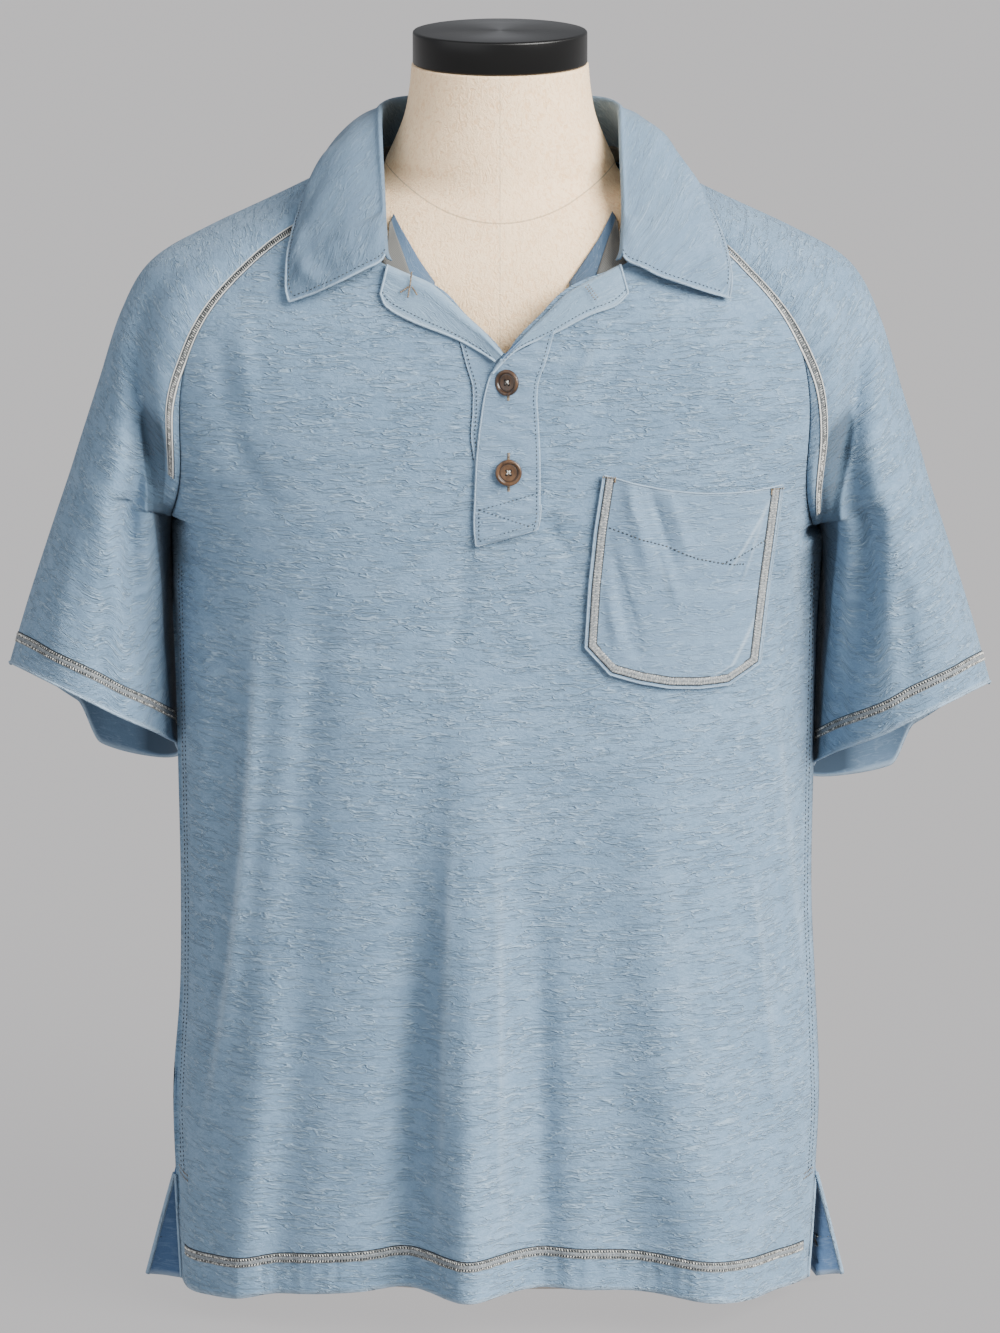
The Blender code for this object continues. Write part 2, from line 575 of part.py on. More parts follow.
# ---- placket and pocket ----
def add_turn(name, table, side, material, collection):
    """A turned-out top of the placket, rolled over the neck's edge onto the front."""
    table = np.array(table)
    rows = np.arange(len(table))
    at = np.linspace(0.0, len(table) - 1.0, 15)
    roll_x, roll_z, edge_x, edge_z = (through(rows, table[:, k], at) for k in range(4))
    grid = []
    over_strips = 0.0030 * np.clip(1.0 - at / 1.5, 0.0, 1.0)
    for share, lift in ((0.0, 0.0018), (0.12, 0.0040), (0.40, 0.0036), (0.70, 0.0028), (1.0, 0.0020)):
        x = roll_x + (edge_x - roll_x) * share
        z = roll_z + (edge_z - roll_z) * share
        grid.append(on_front(x, z, lift + over_strips))
    add_cloth(name, [np.array(grid)], side, material, collection)


def add_placket(material, collection):
    """The strip that carries the buttonholes, and the button strip behind its edge."""
    near, far, low, high = UNDER_STRIP
    z = np.linspace(low, high, 9)[:, None]
    x = np.linspace(near, far, 5)[None, :]
    under = on_front(x + 0.0 * z, z + 0.0 * x, LAY_GAP + TAPE)
    add_cloth("placket_under", [under], 1, material, collection, TAPE)
    z = np.linspace(PLACKET["z"][0], PLACKET["z"][-1], 13)[:, None]
    share = np.linspace(0.0, 1.0, 7)[None, :]
    near_x = read(PLACKET, "near_x", z)
    far_x = read(PLACKET, "far_x", z)
    slant = PLACKET_SLANT * share * np.clip(1.0 - (z - PLACKET["z"][0]) / 0.03, 0.0, 1.0)
    x = near_x + (far_x - near_x) * share
    over = on_front(x, z + slant, 2.0 * LAY_GAP + TAPE + CLOTH)
    add_cloth("placket_over", [over], 1, material, collection)


def add_pocket(material, collection):
    """The patch pocket, whose mouth sags a little away from the front."""
    down = np.linspace(0.0, 1.0, 13)[:, None]
    across = np.linspace(0.0, 1.0, 12)[None, :]
    near_x, near_z, far_x, far_z = (
        read(POCKET, name, down, "down") for name in ("near_x", "near_z", "far_x", "far_z")
    )
    sag = POCKET_SAG * np.sin(math.pi * across) * (1.0 - down) ** 1.5
    round_foot = 0.006 * np.sin(math.pi * across) * down**3
    x = near_x + (far_x - near_x) * across
    z = near_z + (far_z - near_z) * across - sag - round_foot
    puff = 0.0022 * np.sin(math.pi * across) * (1.0 - down) ** 0.7
    add_cloth("pocket", [on_front(x, z, 6.0 * LAY_GAP + CLOTH + puff)], -1, material, collection)


# ---- buttons ----
def turned(name, profile, steps, material, collection):
    """A turned piece about its own Z from a profile that runs down its outer side."""
    mesh = bpy.data.meshes.new(name)
    points = [(r, 0.0, z) for r, z in profile]
    edges = [(i, i + 1) for i in range(len(points) - 1)]
    mesh.from_pydata(points, edges, [])
    made = add_object(name, mesh, material, collection)
    screw = made.modifiers.new("turn", "SCREW")
    screw.steps = steps
    screw.render_steps = steps
    screw.use_merge_vertices = True
    screw.merge_threshold = 0.00002
    screw.use_smooth_shade = True
    return made


def add_buttons(material, collection, cutters):
    """Four-hole buttons with a raised rim, facing out from the placket."""
    r, t = BUTTON_RADIUS, BUTTON_THICK
    profile = [
        (0.0, 0.62 * t), (0.58 * r, 0.62 * t), (0.68 * r, t), (0.90 * r, t),
        (r, 0.78 * t), (r, 0.40 * t), (0.72 * r, 0.0), (0.0, 0.0),
    ]
    rest = 2.0 * LAY_GAP + TAPE + CLOTH + 0.0010
    for name, x, z in BUTTON_PLACES:
        button = turned(name, profile, 24, material, collection)
        button.location = on_front(np.array(x), np.array(z), rest)
        button.rotation_euler = (math.radians(90.0 - 4.0), 0.0, 0.0)
        for i in range(4):
            turn = math.radians(45.0 + 90.0 * i)
            bpy.ops.mesh.primitive_cylinder_add(vertices=8, radius=0.0009, depth=3.0 * t)
            hole = bpy.context.object
            hole.name = f"{name}_hole_{i}"
            hole.parent = button
            hole.location = (0.23 * r * math.cos(turn), 0.23 * r * math.sin(turn), 0.5 * t)
            hole.hide_render = True
            hole.display_type = "WIRE"
            for old in list(hole.users_collection):
                old.objects.unlink(hole)
            cutters.objects.link(hole)
            cut = button.modifiers.new("hole", "BOOLEAN")
            cut.operation = "DIFFERENCE"
            cut.object = hole


# ---- dress form ----
def add_form(linen, black, collection):
    """The padded torso, its satin cap and the low plinth under it."""
    z = np.concatenate([
        np.linspace(FORM["z"][0], 0.66, 8),
        np.array(FORM["z"][8:]),
    ])
    turn = np.linspace(0.0, 2.0 * math.pi, 29)[:-1]
    shape = bmesh.new()
    rings = []
    for height in z:
        half = read(FORM, "half", height)
        n = through(SHOULDER_SHAPE["z"], SHOULDER_SHAPE["exponent"], height)
        c, s = np.cos(turn), np.sin(turn)
        depth = np.where(s < 0.0, read(FORM, "front", height), read(FORM, "back", height))
        x = half * np.sign(c) * np.abs(c) ** (2.0 / n)
        y = depth * np.sign(s) * np.abs(s) ** (2.0 / n)
        rings.append([shape.verts.new((a, b, height)) for a, b in zip(x, y)])
    for low, high in zip(rings, rings[1:]):
        for i in range(len(turn)):
            j = (i + 1) % len(turn)
            shape.faces.new((low[i], low[j], high[j], high[i]))
    shape.faces.new(rings[0][::-1])
    shape.faces.new(rings[-1])
    mesh = bpy.data.meshes.new("form_body")
    shape.to_mesh(mesh)
    shape.free()
    mesh.shade_smooth()
    add_object("form_body", mesh, linen, collection)
    r = CAP_RADIUS
    low, high = CAP_BOTTOM_Z, CAP_TOP_Z
    profile = [
        (0.0, high), (r - 0.0016, high), (r - 0.0005, high - 0.0005), (r, high - 0.0016),
        (r, low + 0.001), (r - 0.001, low), (0.0, low),
    ]
    turned("form_cap", profile, 48, black, collection)
    outline = bpy.data.curves.new("plinth_outline", "CURVE")
    outline.dimensions = "2D"
    outline.fill_mode = "BOTH"
    outline.extrude = PLINTH_HEIGHT / 2.0
    spline = outline.splines.new("POLY")
    middle = 0.5 * (PLINTH_FRONT_Y + PLINTH_BACK_Y)
    deep = 0.5 * (PLINTH_BACK_Y - PLINTH_FRONT_Y)
    spline.points.add(31)
    for i, point in enumerate(spline.points):
        a = 2.0 * math.pi * i / 32.0
        c, s = math.cos(a), math.sin(a)
        x = PLINTH_HALF * math.copysign(abs(c) ** 0.6, c)
        y = middle + deep * math.copysign(abs(s) ** 0.6, s)
        point.co = (x, y, 0.0, 1.0)
    spline.use_cyclic_u = True
    outline.materials.append(linen)
    plinth = bpy.data.objects.new("form_plinth", outline)
    plinth.location.z = PLINTH_HEIGHT / 2.0
    collection.objects.link(plinth)


def main():
    """Build the shirt and its form."""
    clear_scene()
    shirt = make_collection("polo_shirt")
    cutters = make_collection("cutters", hidden=True)
    jersey = make_material("washed_jersey", LIGHT_BLUE, 0.85)
    twill = make_material("twill_tape", GREY_TWILL, 0.85)
    horn = make_material("horn", HORN, 0.35)
    linen = make_material("linen_cover", LINEN, 0.9)
    black = make_material("black_satin", BLACK, 0.35)
    add_body_panels(jersey, shirt)
    add_sleeves(jersey, shirt)
    add_collar(jersey, twill, shirt)
    add_placket(jersey, shirt)
    add_turn("placket_turn_right", TURN_RIGHT, 1, jersey, shirt)
    add_turn("placket_turn_left", TURN_LEFT, -1, jersey, shirt)
    add_pocket(jersey, shirt)
    add_buttons(horn, shirt, cutters)
    add_form(linen, black, shirt)


main()
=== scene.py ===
import json
import math

import bmesh
import bpy
import numpy as np
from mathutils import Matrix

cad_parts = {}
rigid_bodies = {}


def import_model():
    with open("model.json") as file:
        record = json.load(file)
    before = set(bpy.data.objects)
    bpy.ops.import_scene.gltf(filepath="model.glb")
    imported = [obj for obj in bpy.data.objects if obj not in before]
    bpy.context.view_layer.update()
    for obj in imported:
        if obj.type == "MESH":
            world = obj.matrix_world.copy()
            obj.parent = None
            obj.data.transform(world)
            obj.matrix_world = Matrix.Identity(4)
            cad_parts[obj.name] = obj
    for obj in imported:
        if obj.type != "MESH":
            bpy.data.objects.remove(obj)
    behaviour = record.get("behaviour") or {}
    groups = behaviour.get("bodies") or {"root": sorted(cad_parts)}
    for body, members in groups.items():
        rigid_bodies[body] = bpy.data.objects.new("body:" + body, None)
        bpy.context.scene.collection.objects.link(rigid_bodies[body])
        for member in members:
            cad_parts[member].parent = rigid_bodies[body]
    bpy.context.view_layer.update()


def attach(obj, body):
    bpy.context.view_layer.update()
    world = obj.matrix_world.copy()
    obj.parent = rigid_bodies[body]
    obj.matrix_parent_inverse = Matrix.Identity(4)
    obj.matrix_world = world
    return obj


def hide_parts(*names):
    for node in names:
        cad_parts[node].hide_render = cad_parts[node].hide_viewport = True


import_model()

# ---- The studio ----
# A seamless pale grey floor that runs out of view, one wide soft light from the front on the
# wearer's left, a weaker one from the other side and an even sky. The floor glows a little
# itself, as a lit studio paper does, so that it stays even behind the shirt.
FLOOR_GREY = (0.615, 0.600, 0.607)
floor_mesh = bpy.data.meshes.new("studio_floor")
floor_mesh.from_pydata([(-40, -40, 0), (40, -40, 0), (40, 40, 0), (-40, 40, 0)], [], [(0, 1, 2, 3)])
floor = bpy.data.objects.new("studio_floor", floor_mesh)
bpy.context.scene.collection.objects.link(floor)
paper = bpy.data.materials.new("studio_paper")
paper.use_nodes = True
paper_shader = paper.node_tree.nodes["Principled BSDF"]
paper_shader.inputs["Base Color"].default_value = (0.04, 0.04, 0.04, 1.0)
paper_shader.inputs["Roughness"].default_value = 1.0
paper_shader.inputs["Specular IOR Level"].default_value = 0.0
paper_shader.inputs["Emission Color"].default_value = (*FLOOR_GREY, 1.0)
paper_shader.inputs["Emission Strength"].default_value = 1.0
floor_mesh.materials.append(paper)

sky = bpy.data.worlds.new("studio_sky")
sky.use_nodes = True
sky.node_tree.nodes["Background"].inputs["Color"].default_value = (0.93, 0.95, 1.0, 1.0)
sky.node_tree.nodes["Background"].inputs["Strength"].default_value = 0.48
bpy.context.scene.world = sky

for lamp_name, strength, spread, turn, tilt, colour in (
    ("key_light", 9.9, 42.0, 52.0, 60.0, (1.0, 0.980, 0.945)),
    ("fill_light", 1.45, 70.0, -50.0, 74.0, (0.97, 0.98, 1.0)),
):
    lamp_data = bpy.data.lights.new(lamp_name, "SUN")
    lamp_data.energy = strength
    lamp_data.angle = math.radians(spread)
    lamp_data.color = colour
    lamp = bpy.data.objects.new(lamp_name, lamp_data)
    lamp.rotation_euler = (math.radians(tilt), 0.0, math.radians(turn))
    lamp.location = (0.0, -2.0, 3.0)
    bpy.context.scene.collection.objects.link(lamp)

CAMERA_DISTANCE = 5.5
CAMERA_ELEVATION = math.radians(12.5)
AIM_Z = 0.425
VIEW_HEIGHT = 0.87978  # of the whole picture, where the camera looks
camera_data = bpy.data.cameras.new("camera")
camera_data.sensor_width = 36.0
camera_data.lens = 36.0 * CAMERA_DISTANCE / VIEW_HEIGHT
camera_data.clip_end = 200.0
camera = bpy.data.objects.new("camera", camera_data)
camera.location = (
    0.0,
    -CAMERA_DISTANCE * math.cos(CAMERA_ELEVATION),
    AIM_Z + CAMERA_DISTANCE * math.sin(CAMERA_ELEVATION),
)
camera.rotation_euler = (math.pi / 2.0 - CAMERA_ELEVATION, 0.0, 0.0)
bpy.context.scene.collection.objects.link(camera)
bpy.context.scene.camera = camera


# ---- The dress form ----
# A padded torso without limbs under one stretched cream linen cover, with a fine seam down the
# middle of the front and one round the base of the neck. The cover is drawn tight and glued
# under the cap, and the torso stands on a low plinth that the hem hides.
def cubic(t, step, low, high, low_slope, high_slope):
    """The cubic from low (t = 0) to high (t = 1) over a step, with a given slope at each end."""
    return (
        (2.0 * t**3 - 3.0 * t**2 + 1.0) * low
        + (t**3 - 2.0 * t**2 + t) * step * low_slope
        + (3.0 * t**2 - 2.0 * t**3) * high
        + (t**3 - t**2) * step * high_slope
    )


def through(places, values, at):
    """Smooth curve through (places, values), read at `at`: a cubic between each two places.

    Its slope at a place is that of the line between the neighbours on both sides.
    """
    places = np.asarray(places, float)
    values = np.asarray(values, float)
    at = np.clip(np.asarray(at, float), places[0], places[-1])
    slopes = np.gradient(values, places)
    i = np.clip(np.searchsorted(places, at, side="right") - 1, 0, len(places) - 2)
    step = places[i + 1] - places[i]
    t = (at - places[i]) / step
    return cubic(t, step, values[i], values[i + 1], slopes[i], slopes[i + 1])


def smooth_step(t):
    """0 below t = 0, 1 above t = 1, and 3t^2 - 2t^3 between."""
    t = np.clip(t, 0.0, 1.0)
    return t * t * (3.0 - 2.0 * t)


def unit(vectors):
    """Vectors of length 1 along the last axis."""
    return vectors / np.linalg.norm(vectors, axis=-1, keepdims=True)


def edited(mesh, *steps):
    """The mesh after steps of editing, each a function of the mesh that is being edited."""
    shape = bmesh.new()
    shape.from_mesh(mesh)
    for step in steps:
        step(shape)
    shape.to_mesh(mesh)
    shape.free()
    return mesh


def grid_mesh(name, grids, outward=1, uvs=None, worn=None, closed=False):
    """A mesh of quads from grids of points (rows, columns, 3), welded where grids share an edge.

    `outward` is +1 or -1 for the winding, `uvs` the grids' (rows, columns, 2) in metres of
    cloth, the list after it their (rows, columns) of pale wear above 0 and painted shade below 0,
    and `closed` joins the last column to the first.
    """
    points, quads, corners_uv, paling_and_shade, start = [], [], [], [], 0
    for k, grid in enumerate(grids):
        rows, columns = grid.shape[:2]
        index = start + np.arange(rows * columns).reshape(rows, columns)
        if closed:
            index = np.concatenate([index, index[:, :1]], axis=1)
        quad = np.stack(
            [index[:-1, :-1], index[:-1, 1:], index[1:, 1:], index[1:, :-1]], axis=-1
        ).reshape(-1, 4)
        quads.append(quad if outward > 0 else quad[:, ::-1])
        points.append(grid.reshape(-1, 3))
        if uvs is not None:
            corners_uv.append(uvs[k].reshape(-1, 2))
        paling_and_shade.append(np.zeros(rows * columns) if worn is None else worn[k].ravel())
        start += rows * columns
    points, quads = np.concatenate(points), np.concatenate(quads)
    mesh = bpy.data.meshes.new(name)
    mesh.from_pydata(points, [], quads.tolist())
    if uvs is not None:
        layer = mesh.uv_layers.new(name="grain")
        layer.data.foreach_set("uv", np.concatenate(corners_uv)[quads.ravel()].ravel())
    layer = mesh.attributes.new("worn", "FLOAT", "POINT")
    layer.data.foreach_set("value", np.concatenate(paling_and_shade).astype(np.float32))
    if len(grids) > 1:
        edited(mesh, lambda shape: bmesh.ops.remove_doubles(shape, verts=shape.verts, dist=0.00002))
    mesh.shade_smooth()
    return mesh


def add_piece(name, mesh, materials, nodes):
    """An object for a mesh that stands for the named nodes and rides with them."""
    for material in materials:
        mesh.materials.append(material)
    made = bpy.data.objects.new(name, mesh)
    bpy.context.scene.collection.objects.link(made)
    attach(made, "root")
    if nodes:
        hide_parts(*nodes)
    return made


def plain_material(name, colour, roughness, **sockets):
    """A Principled material; every number that is the same all over sits on its own socket."""
    material = bpy.data.materials.new(name)
    material.use_nodes = True
    shader = material.node_tree.nodes["Principled BSDF"]
    shader.inputs["Base Color"].default_value = (*colour, 1.0)
    shader.inputs["Roughness"].default_value = roughness
    for socket, value in sockets.items():
        shader.inputs[socket.replace("_", " ")].default_value = value
    return material


def wired(tree, kind, inputs=None, **settings):
    """A node of one kind, its settings, and a value or a source for each named input."""
    made = tree.nodes.new(kind)
    for key, value in settings.items():
        setattr(made, key, value)
    for socket, value in (inputs or {}).items():
        if isinstance(value, bpy.types.NodeSocket):
            tree.links.new(value, made.inputs[socket])
        else:
            made.inputs[socket].default_value = value
    return made


def object_place(tree):
    """Object coordinates, in metres."""
    return wired(tree, "ShaderNodeTexCoord").outputs["Object"]


def cloth_place(tree):
    """Metres of cloth, from the mesh's own UV map."""
    return wired(tree, "ShaderNodeUVMap", uv_map="grain").outputs[0]


def pale_and_shade_share(tree):
    """What a mesh carries for its colour: 1 rubbed pale wear, and ivory on a band; -1 painted
    shade, as in the dark of a fold.
    """
    return wired(tree, "ShaderNodeAttribute", attribute_name="worn").outputs["Fac"]


def stretched(tree, source, x, y, z, detail, roughness, distortion=0.0, shift=0.0):
    """A noise whose grain is stretched: so many cells to a metre along each axis."""
    scaled = wired(
        tree, "ShaderNodeVectorMath", {0: source, 1: (x, y, z), 2: (shift, shift, shift)},
        operation="MULTIPLY_ADD",
    )
    noise = wired(
        tree, "ShaderNodeTexNoise",
        {"Vector": scaled.outputs[0], "Scale": 1.0, "Detail": detail, "Roughness": roughness,
         "Distortion": distortion},
    )
    return noise.outputs["Fac"]


def ranged(tree, source, low, high, to_low=0.0, to_high=1.0, smooth=True):
    """The source's range from low to high, mapped onto to_low to to_high."""
    made = wired(
        tree, "ShaderNodeMapRange",
        {"Value": source, "From Min": low, "From Max": high, "To Min": to_low, "To Max": to_high},
        interpolation_type="SMOOTHSTEP" if smooth else "LINEAR",
    )
    return made.outputs[0]


def maths(tree, operation, a, b=0.0, c=0.0):
    """One arithmetic step of a node tree."""
    return wired(tree, "ShaderNodeMath", {0: a, 1: b, 2: c}, operation=operation).outputs[0]


def blended(tree, share, a, b, mode="MIX"):
    """Two colours, mixed by a share."""
    made = wired(tree, "ShaderNodeMix", data_type="RGBA", blend_type=mode)
    for index, value in ((0, share), (6, a), (7, b)):
        if isinstance(value, bpy.types.NodeSocket):
            tree.links.new(value, made.inputs[index])
        else:
            made.inputs[index].default_value = value if index == 0 else (*value, 1.0)
    return made.outputs[2]


def coloured(tree, colour):
    """Wires a colour to the shader."""
    tree.links.new(colour, tree.nodes["Principled BSDF"].inputs["Base Color"])


def bumped(tree, height, distance, strength):
    """Wires the shader's normal, raised by a height of 0 to 1 times a distance in metres."""
    bump = wired(
        tree, "ShaderNodeBump", {"Height": height, "Distance": distance, "Strength": strength}
    )
    tree.links.new(bump.outputs[0], tree.nodes["Principled BSDF"].inputs["Normal"])


FORM = {
    "z": (0.022, 0.100, 0.220, 0.340, 0.440, 0.540, 0.620, 0.670, 0.694, 0.712, 0.722,
          0.733, 0.741, 0.748, 0.756, 0.766, 0.778, 0.792, 0.810, 0.826),
    "half": (0.135, 0.152, 0.158, 0.152, 0.158, 0.172, 0.178, 0.178, 0.176, 0.166, 0.156,
             0.132, 0.111, 0.088, 0.078, 0.0735, 0.0680, 0.0625, 0.0590, 0.0575),
    "front": (0.060, 0.078, 0.086, 0.088, 0.094, 0.103, 0.104, 0.101, 0.098, 0.093, 0.088,
              0.083, 0.078, 0.073, 0.0695, 0.0670, 0.0645, 0.0615, 0.0590, 0.0575),
    "back": (0.106, 0.112, 0.112, 0.108, 0.110, 0.114, 0.116, 0.108, 0.098, 0.086, 0.078,
             0.068, 0.058, 0.050, 0.0475, 0.0480, 0.0520, 0.0560, 0.0575, 0.0575),
}
SHOULDER_SHAPE = {
    "z": (0.022, 0.600, 0.680, 0.730, 0.755, 0.780, 0.826),
    "exponent": (2.5, 2.5, 2.2, 1.7, 1.75, 2.0, 2.0),
}


def form_face(turn, z, out=0.0):
    """Point of the torso: a rounded square |x/a|^n + |y/b|^n = 1 whose a, b and n follow z."""
    a = through(FORM["z"], FORM["half"], z) + out
    n = through(SHOULDER_SHAPE["z"], SHOULDER_SHAPE["exponent"], z)
    c, s = np.cos(turn), np.sin(turn)
    front = through(FORM["z"], FORM["front"], z) + out
    back = through(FORM["z"], FORM["back"], z) + out
    b = np.where(s < 0.0, front, back)
    x = a * np.sign(c) * np.abs(c) ** (2.0 / n)
    y = b * np.sign(s) * np.abs(s) ** (2.0 / n)
    return np.stack([x, y, z + 0.0 * x], axis=-1)


def capped(points):
    """The rings of a tube, with the first and the last shrunk to a point to close its ends."""
    ends = [np.broadcast_to(ring.mean(axis=0), ring.shape) for ring in (points[0], points[-1])]
    return np.concatenate([ends[0][None], points, ends[1][None]])


def welded(mesh):
    """The mesh with its doubles merged, for tubes that close to a point."""
    return edited(
        mesh,
        lambda shape: bmesh.ops.remove_doubles(shape, verts=shape.verts, dist=0.000002),
        lambda shape: bmesh.ops.dissolve_degenerate(shape, edges=shape.edges, dist=0.0000001),
    )


def faced_outward(mesh):
    """The mesh with every face turned outwards."""
    return edited(mesh, lambda shape: bmesh.ops.recalc_face_normals(shape, faces=shape.faces))


NECK_SEAM = (0.7346, 5.0)
linen = plain_material(
    "linen_cover", (0.74, 0.68, 0.58), 0.92, Sheen_Weight=0.15, Specular_IOR_Level=0.25
)
tree = linen.node_tree
place = object_place(tree)
crinkle = stretched(tree, place, 330.0, 330.0, 210.0, 3.0, 0.6, 1.6)
thread = stretched(tree, place, 1500.0, 1500.0, 1500.0, 2.0, 0.5)
stain = stretched(tree, place, 14.0, 14.0, 14.0, 3.0, 0.5)
fleck = stretched(tree, place, 700.0, 700.0, 260.0, 1.0, 0.5, shift=3.7)
cover = blended(
    tree, ranged(tree, crinkle, 0.34, 0.56), (0.880, 0.590, 0.330), (0.998, 0.750, 0.480)
)
cover = blended(tree, ranged(tree, stain, 0.30, 0.75, 0.0, 0.35), cover, (0.930, 0.690, 0.440))
cover = blended(tree, ranged(tree, fleck, 0.70, 0.80, 0.0, 0.45), cover, (0.450, 0.370, 0.290))
# The cover is sewn down the middle of the front and round the base of the neck.
axes = wired(tree, "ShaderNodeSeparateXYZ", {0: place}).outputs
bow = maths(tree, "MULTIPLY", axes[0], axes[0])
base_line = maths(
    tree, "SUBTRACT", axes[2], maths(tree, "MULTIPLY_ADD", bow, NECK_SEAM[1], NECK_SEAM[0])
)
middle = ranged(tree, maths(tree, "ABSOLUTE", axes[0]), 0.0002, 0.0007, 0.40, 0.0)
base = ranged(tree, maths(tree, "ABSOLUTE", base_line), 0.0002, 0.0007, 0.60, 0.0)
cover = blended(tree, middle, cover, (0.500, 0.400, 0.290))
cover = blended(tree, base, cover, (0.330, 0.235, 0.150))
coloured(tree, cover)
height = maths(tree, "MULTIPLY_ADD", thread, 0.35, crinkle)
bumped(tree, height, 0.0011, 0.85)

turn = np.linspace(0.0, 2.0 * math.pi, 193)[:-1][None, :]
heights = np.concatenate([np.linspace(0.022, 0.66, 60)[:-1], np.linspace(0.66, 0.826, 110)])
torso = form_face(turn, heights[:, None])
form_mesh = welded(grid_mesh("form_cover", [capped(torso)], closed=True))
add_piece("form_cover", form_mesh, [linen], ["form_body"])

plinth_paint = plain_material("plinth_paint", (0.50, 0.49, 0.47), 0.6)
tree = plinth_paint.node_tree
place = object_place(tree)
mottle = stretched(tree, place, 300.0, 300.0, 300.0, 3.0, 0.6)
bumped(tree, mottle, 0.0002, 0.4)
coloured(tree, blended(tree, mottle, (0.46, 0.45, 0.43), (0.54, 0.53, 0.51)))
for node in bpy.data.objects:
    if node.name.startswith("form_plinth"):
        node.data.materials.clear()
        node.data.materials.append(plinth_paint)

# ---- The cap on the form's neck ----
# A turned disc with a small bevel, lacquered black and brushed round, so that its flat top has
# a radial sheen; it is screwed down over the edge of the linen cover.
cap_profile = np.array([
    (0.0, 0.8480), (0.0300, 0.8480), (0.0548, 0.8480), (0.0560, 0.8477), (0.0566, 0.8471),
    (0.0568, 0.8463), (0.0568, 0.8276), (0.0565, 0.8268), (0.0558, 0.8264), (0.0300, 0.8264),
    (0.0, 0.8264),
])


def turned(profile, turns):
    """A profile of (radius, height) carried round the upright axis."""
    turn = np.linspace(0.0, 2.0 * math.pi, turns + 1)[:-1][None, :]
    r, z = profile[:, :1], profile[:, 1:]
    return np.stack([r * np.cos(turn), r * np.sin(turn), z + 0.0 * turn], axis=-1)


lacquer = plain_material(
    "black_satin", (0.004, 0.004, 0.004), 0.30, Anisotropic=0.75, Specular_IOR_Level=0.28
)
tree = lacquer.node_tree
place = object_place(tree)
brushed = stretched(tree, place, 900.0, 900.0, 900.0, 2.0, 0.5)
bumped(tree, brushed, 0.00004, 0.3)
tangent = wired(tree, "ShaderNodeTangent", direction_type="RADIAL", axis="Z")
tree.links.new(tangent.outputs[0], tree.nodes["Principled BSDF"].inputs["Tangent"])
cap_mesh = welded(grid_mesh("neck_cap", [turned(cap_profile, 128)], -1, closed=True))
add_piece("neck_cap", cap_mesh, [lacquer], ["form_cap"])


# ---- The jersey ----
# Washed light-blue slub jersey: the knit's courses carry short wavy slubs that stand up and
# were rubbed pale in the wash, over a mottled, slightly uneven dye. The slubs are painted
# paler still as highlight on their lit tops, with a line of painted shade below each. Its back
# is a deeper blue.
def jersey(name, light, deep, slub=1.0, inner=False):
    """The cloth's material. Its UV map counts metres of cloth, u along the courses."""
    material = plain_material(
        name, light, 0.88, Sheen_Weight=0.10, Sheen_Roughness=0.5, Specular_IOR_Level=0.18
    )
    tree = material.node_tree
    cloth = cloth_place(tree)
    wavy = stretched(tree, cloth, 60.0, 350.0, 0.0, 2.0, 0.45, 0.7)
    off = maths(tree, "SUBTRACT", wavy, 0.5)
    line = ranged(tree, maths(tree, "ABSOLUTE", off), 0.0, 0.050, 1.0, 0.0)
    under = maths(tree, "ABSOLUTE", maths(tree, "ADD", off, 0.085))
    under = ranged(tree, under, 0.0, 0.060, 1.0, 0.0)
    broken = ranged(tree, stretched(tree, cloth, 60.0, 130.0, 0.0, 1.0, 0.5, shift=5.3), 0.30, 0.58)
    slubs = maths(tree, "MULTIPLY", line, broken)
    shade_below_slubs = maths(tree, "MULTIPLY", under, broken)
    crumple = stretched(tree, cloth, 210.0, 420.0, 0.0, 3.0, 0.6, 1.5, shift=1.4)
    knit = stretched(tree, cloth, 1300.0, 1700.0, 0.0, 1.0, 0.6)
    mottle = stretched(tree, cloth, 9.0, 55.0, 0.0, 4.0, 0.62, 0.3, shift=7.7)
    cloud = stretched(tree, cloth, 26.0, 30.0, 0.0, 2.0, 0.5, shift=3.1)
    between = tuple(0.5 * (c + d) for c, d in zip(light, deep))
    colour = blended(tree, ranged(tree, mottle, 0.36, 0.64), between, light)
    colour = blended(tree, ranged(tree, cloud, 0.35, 0.70, 0.0, 0.35), colour, deep)
    colour = blended(
        tree, ranged(tree, crumple, 0.36, 0.64, 0.0, 0.50 * slub), colour,
        tuple(0.80 * c for c in deep),
    )
    colour = blended(
        tree, ranged(tree, knit, 0.25, 0.75, 0.0, 0.30), colour, tuple(0.62 * c for c in deep)
    )
    # Painted shade: a dark line just below each slub.
    colour = blended(tree, maths(tree, "MULTIPLY", shade_below_slubs, 0.28 * slub), colour,
                     tuple(0.58 * c for c in deep))
    # The slubs painted paler: partly rubbed pale in the wash, partly painted highlight on their
    # tops.
    pale = tuple(0.35 * c + 0.65 * p for c, p in zip(light, (0.46, 0.58, 0.68)))
    colour = blended(tree, maths(tree, "MULTIPLY", slubs, 0.40 * slub), colour, pale)
    paling_and_shade = pale_and_shade_share(tree)
    colour = blended(tree, ranged(tree, paling_and_shade, 0.0, 1.0, smooth=False), colour,
                     tuple(0.40 * c + 0.60 * p for c, p in zip(light, (0.50, 0.60, 0.69))))
    # Below zero, painted shade: darker in folds and where the cloth lies in shadow.
    colour = blended(tree, ranged(tree, paling_and_shade, 0.0, -1.0, smooth=False), colour,
                     tuple(0.45 * c for c in deep))
    coloured(tree, colour)
    if not inner:
        height = maths(tree, "MULTIPLY_ADD", slubs, 0.8, maths(tree, "MULTIPLY", crumple, 0.8))
        height = maths(tree, "MULTIPLY_ADD", shade_below_slubs, -0.5, height)
        height = maths(tree, "MULTIPLY_ADD", knit, 0.25, height)
        bumped(tree, height, 0.0012, 0.75 * slub)
    return material


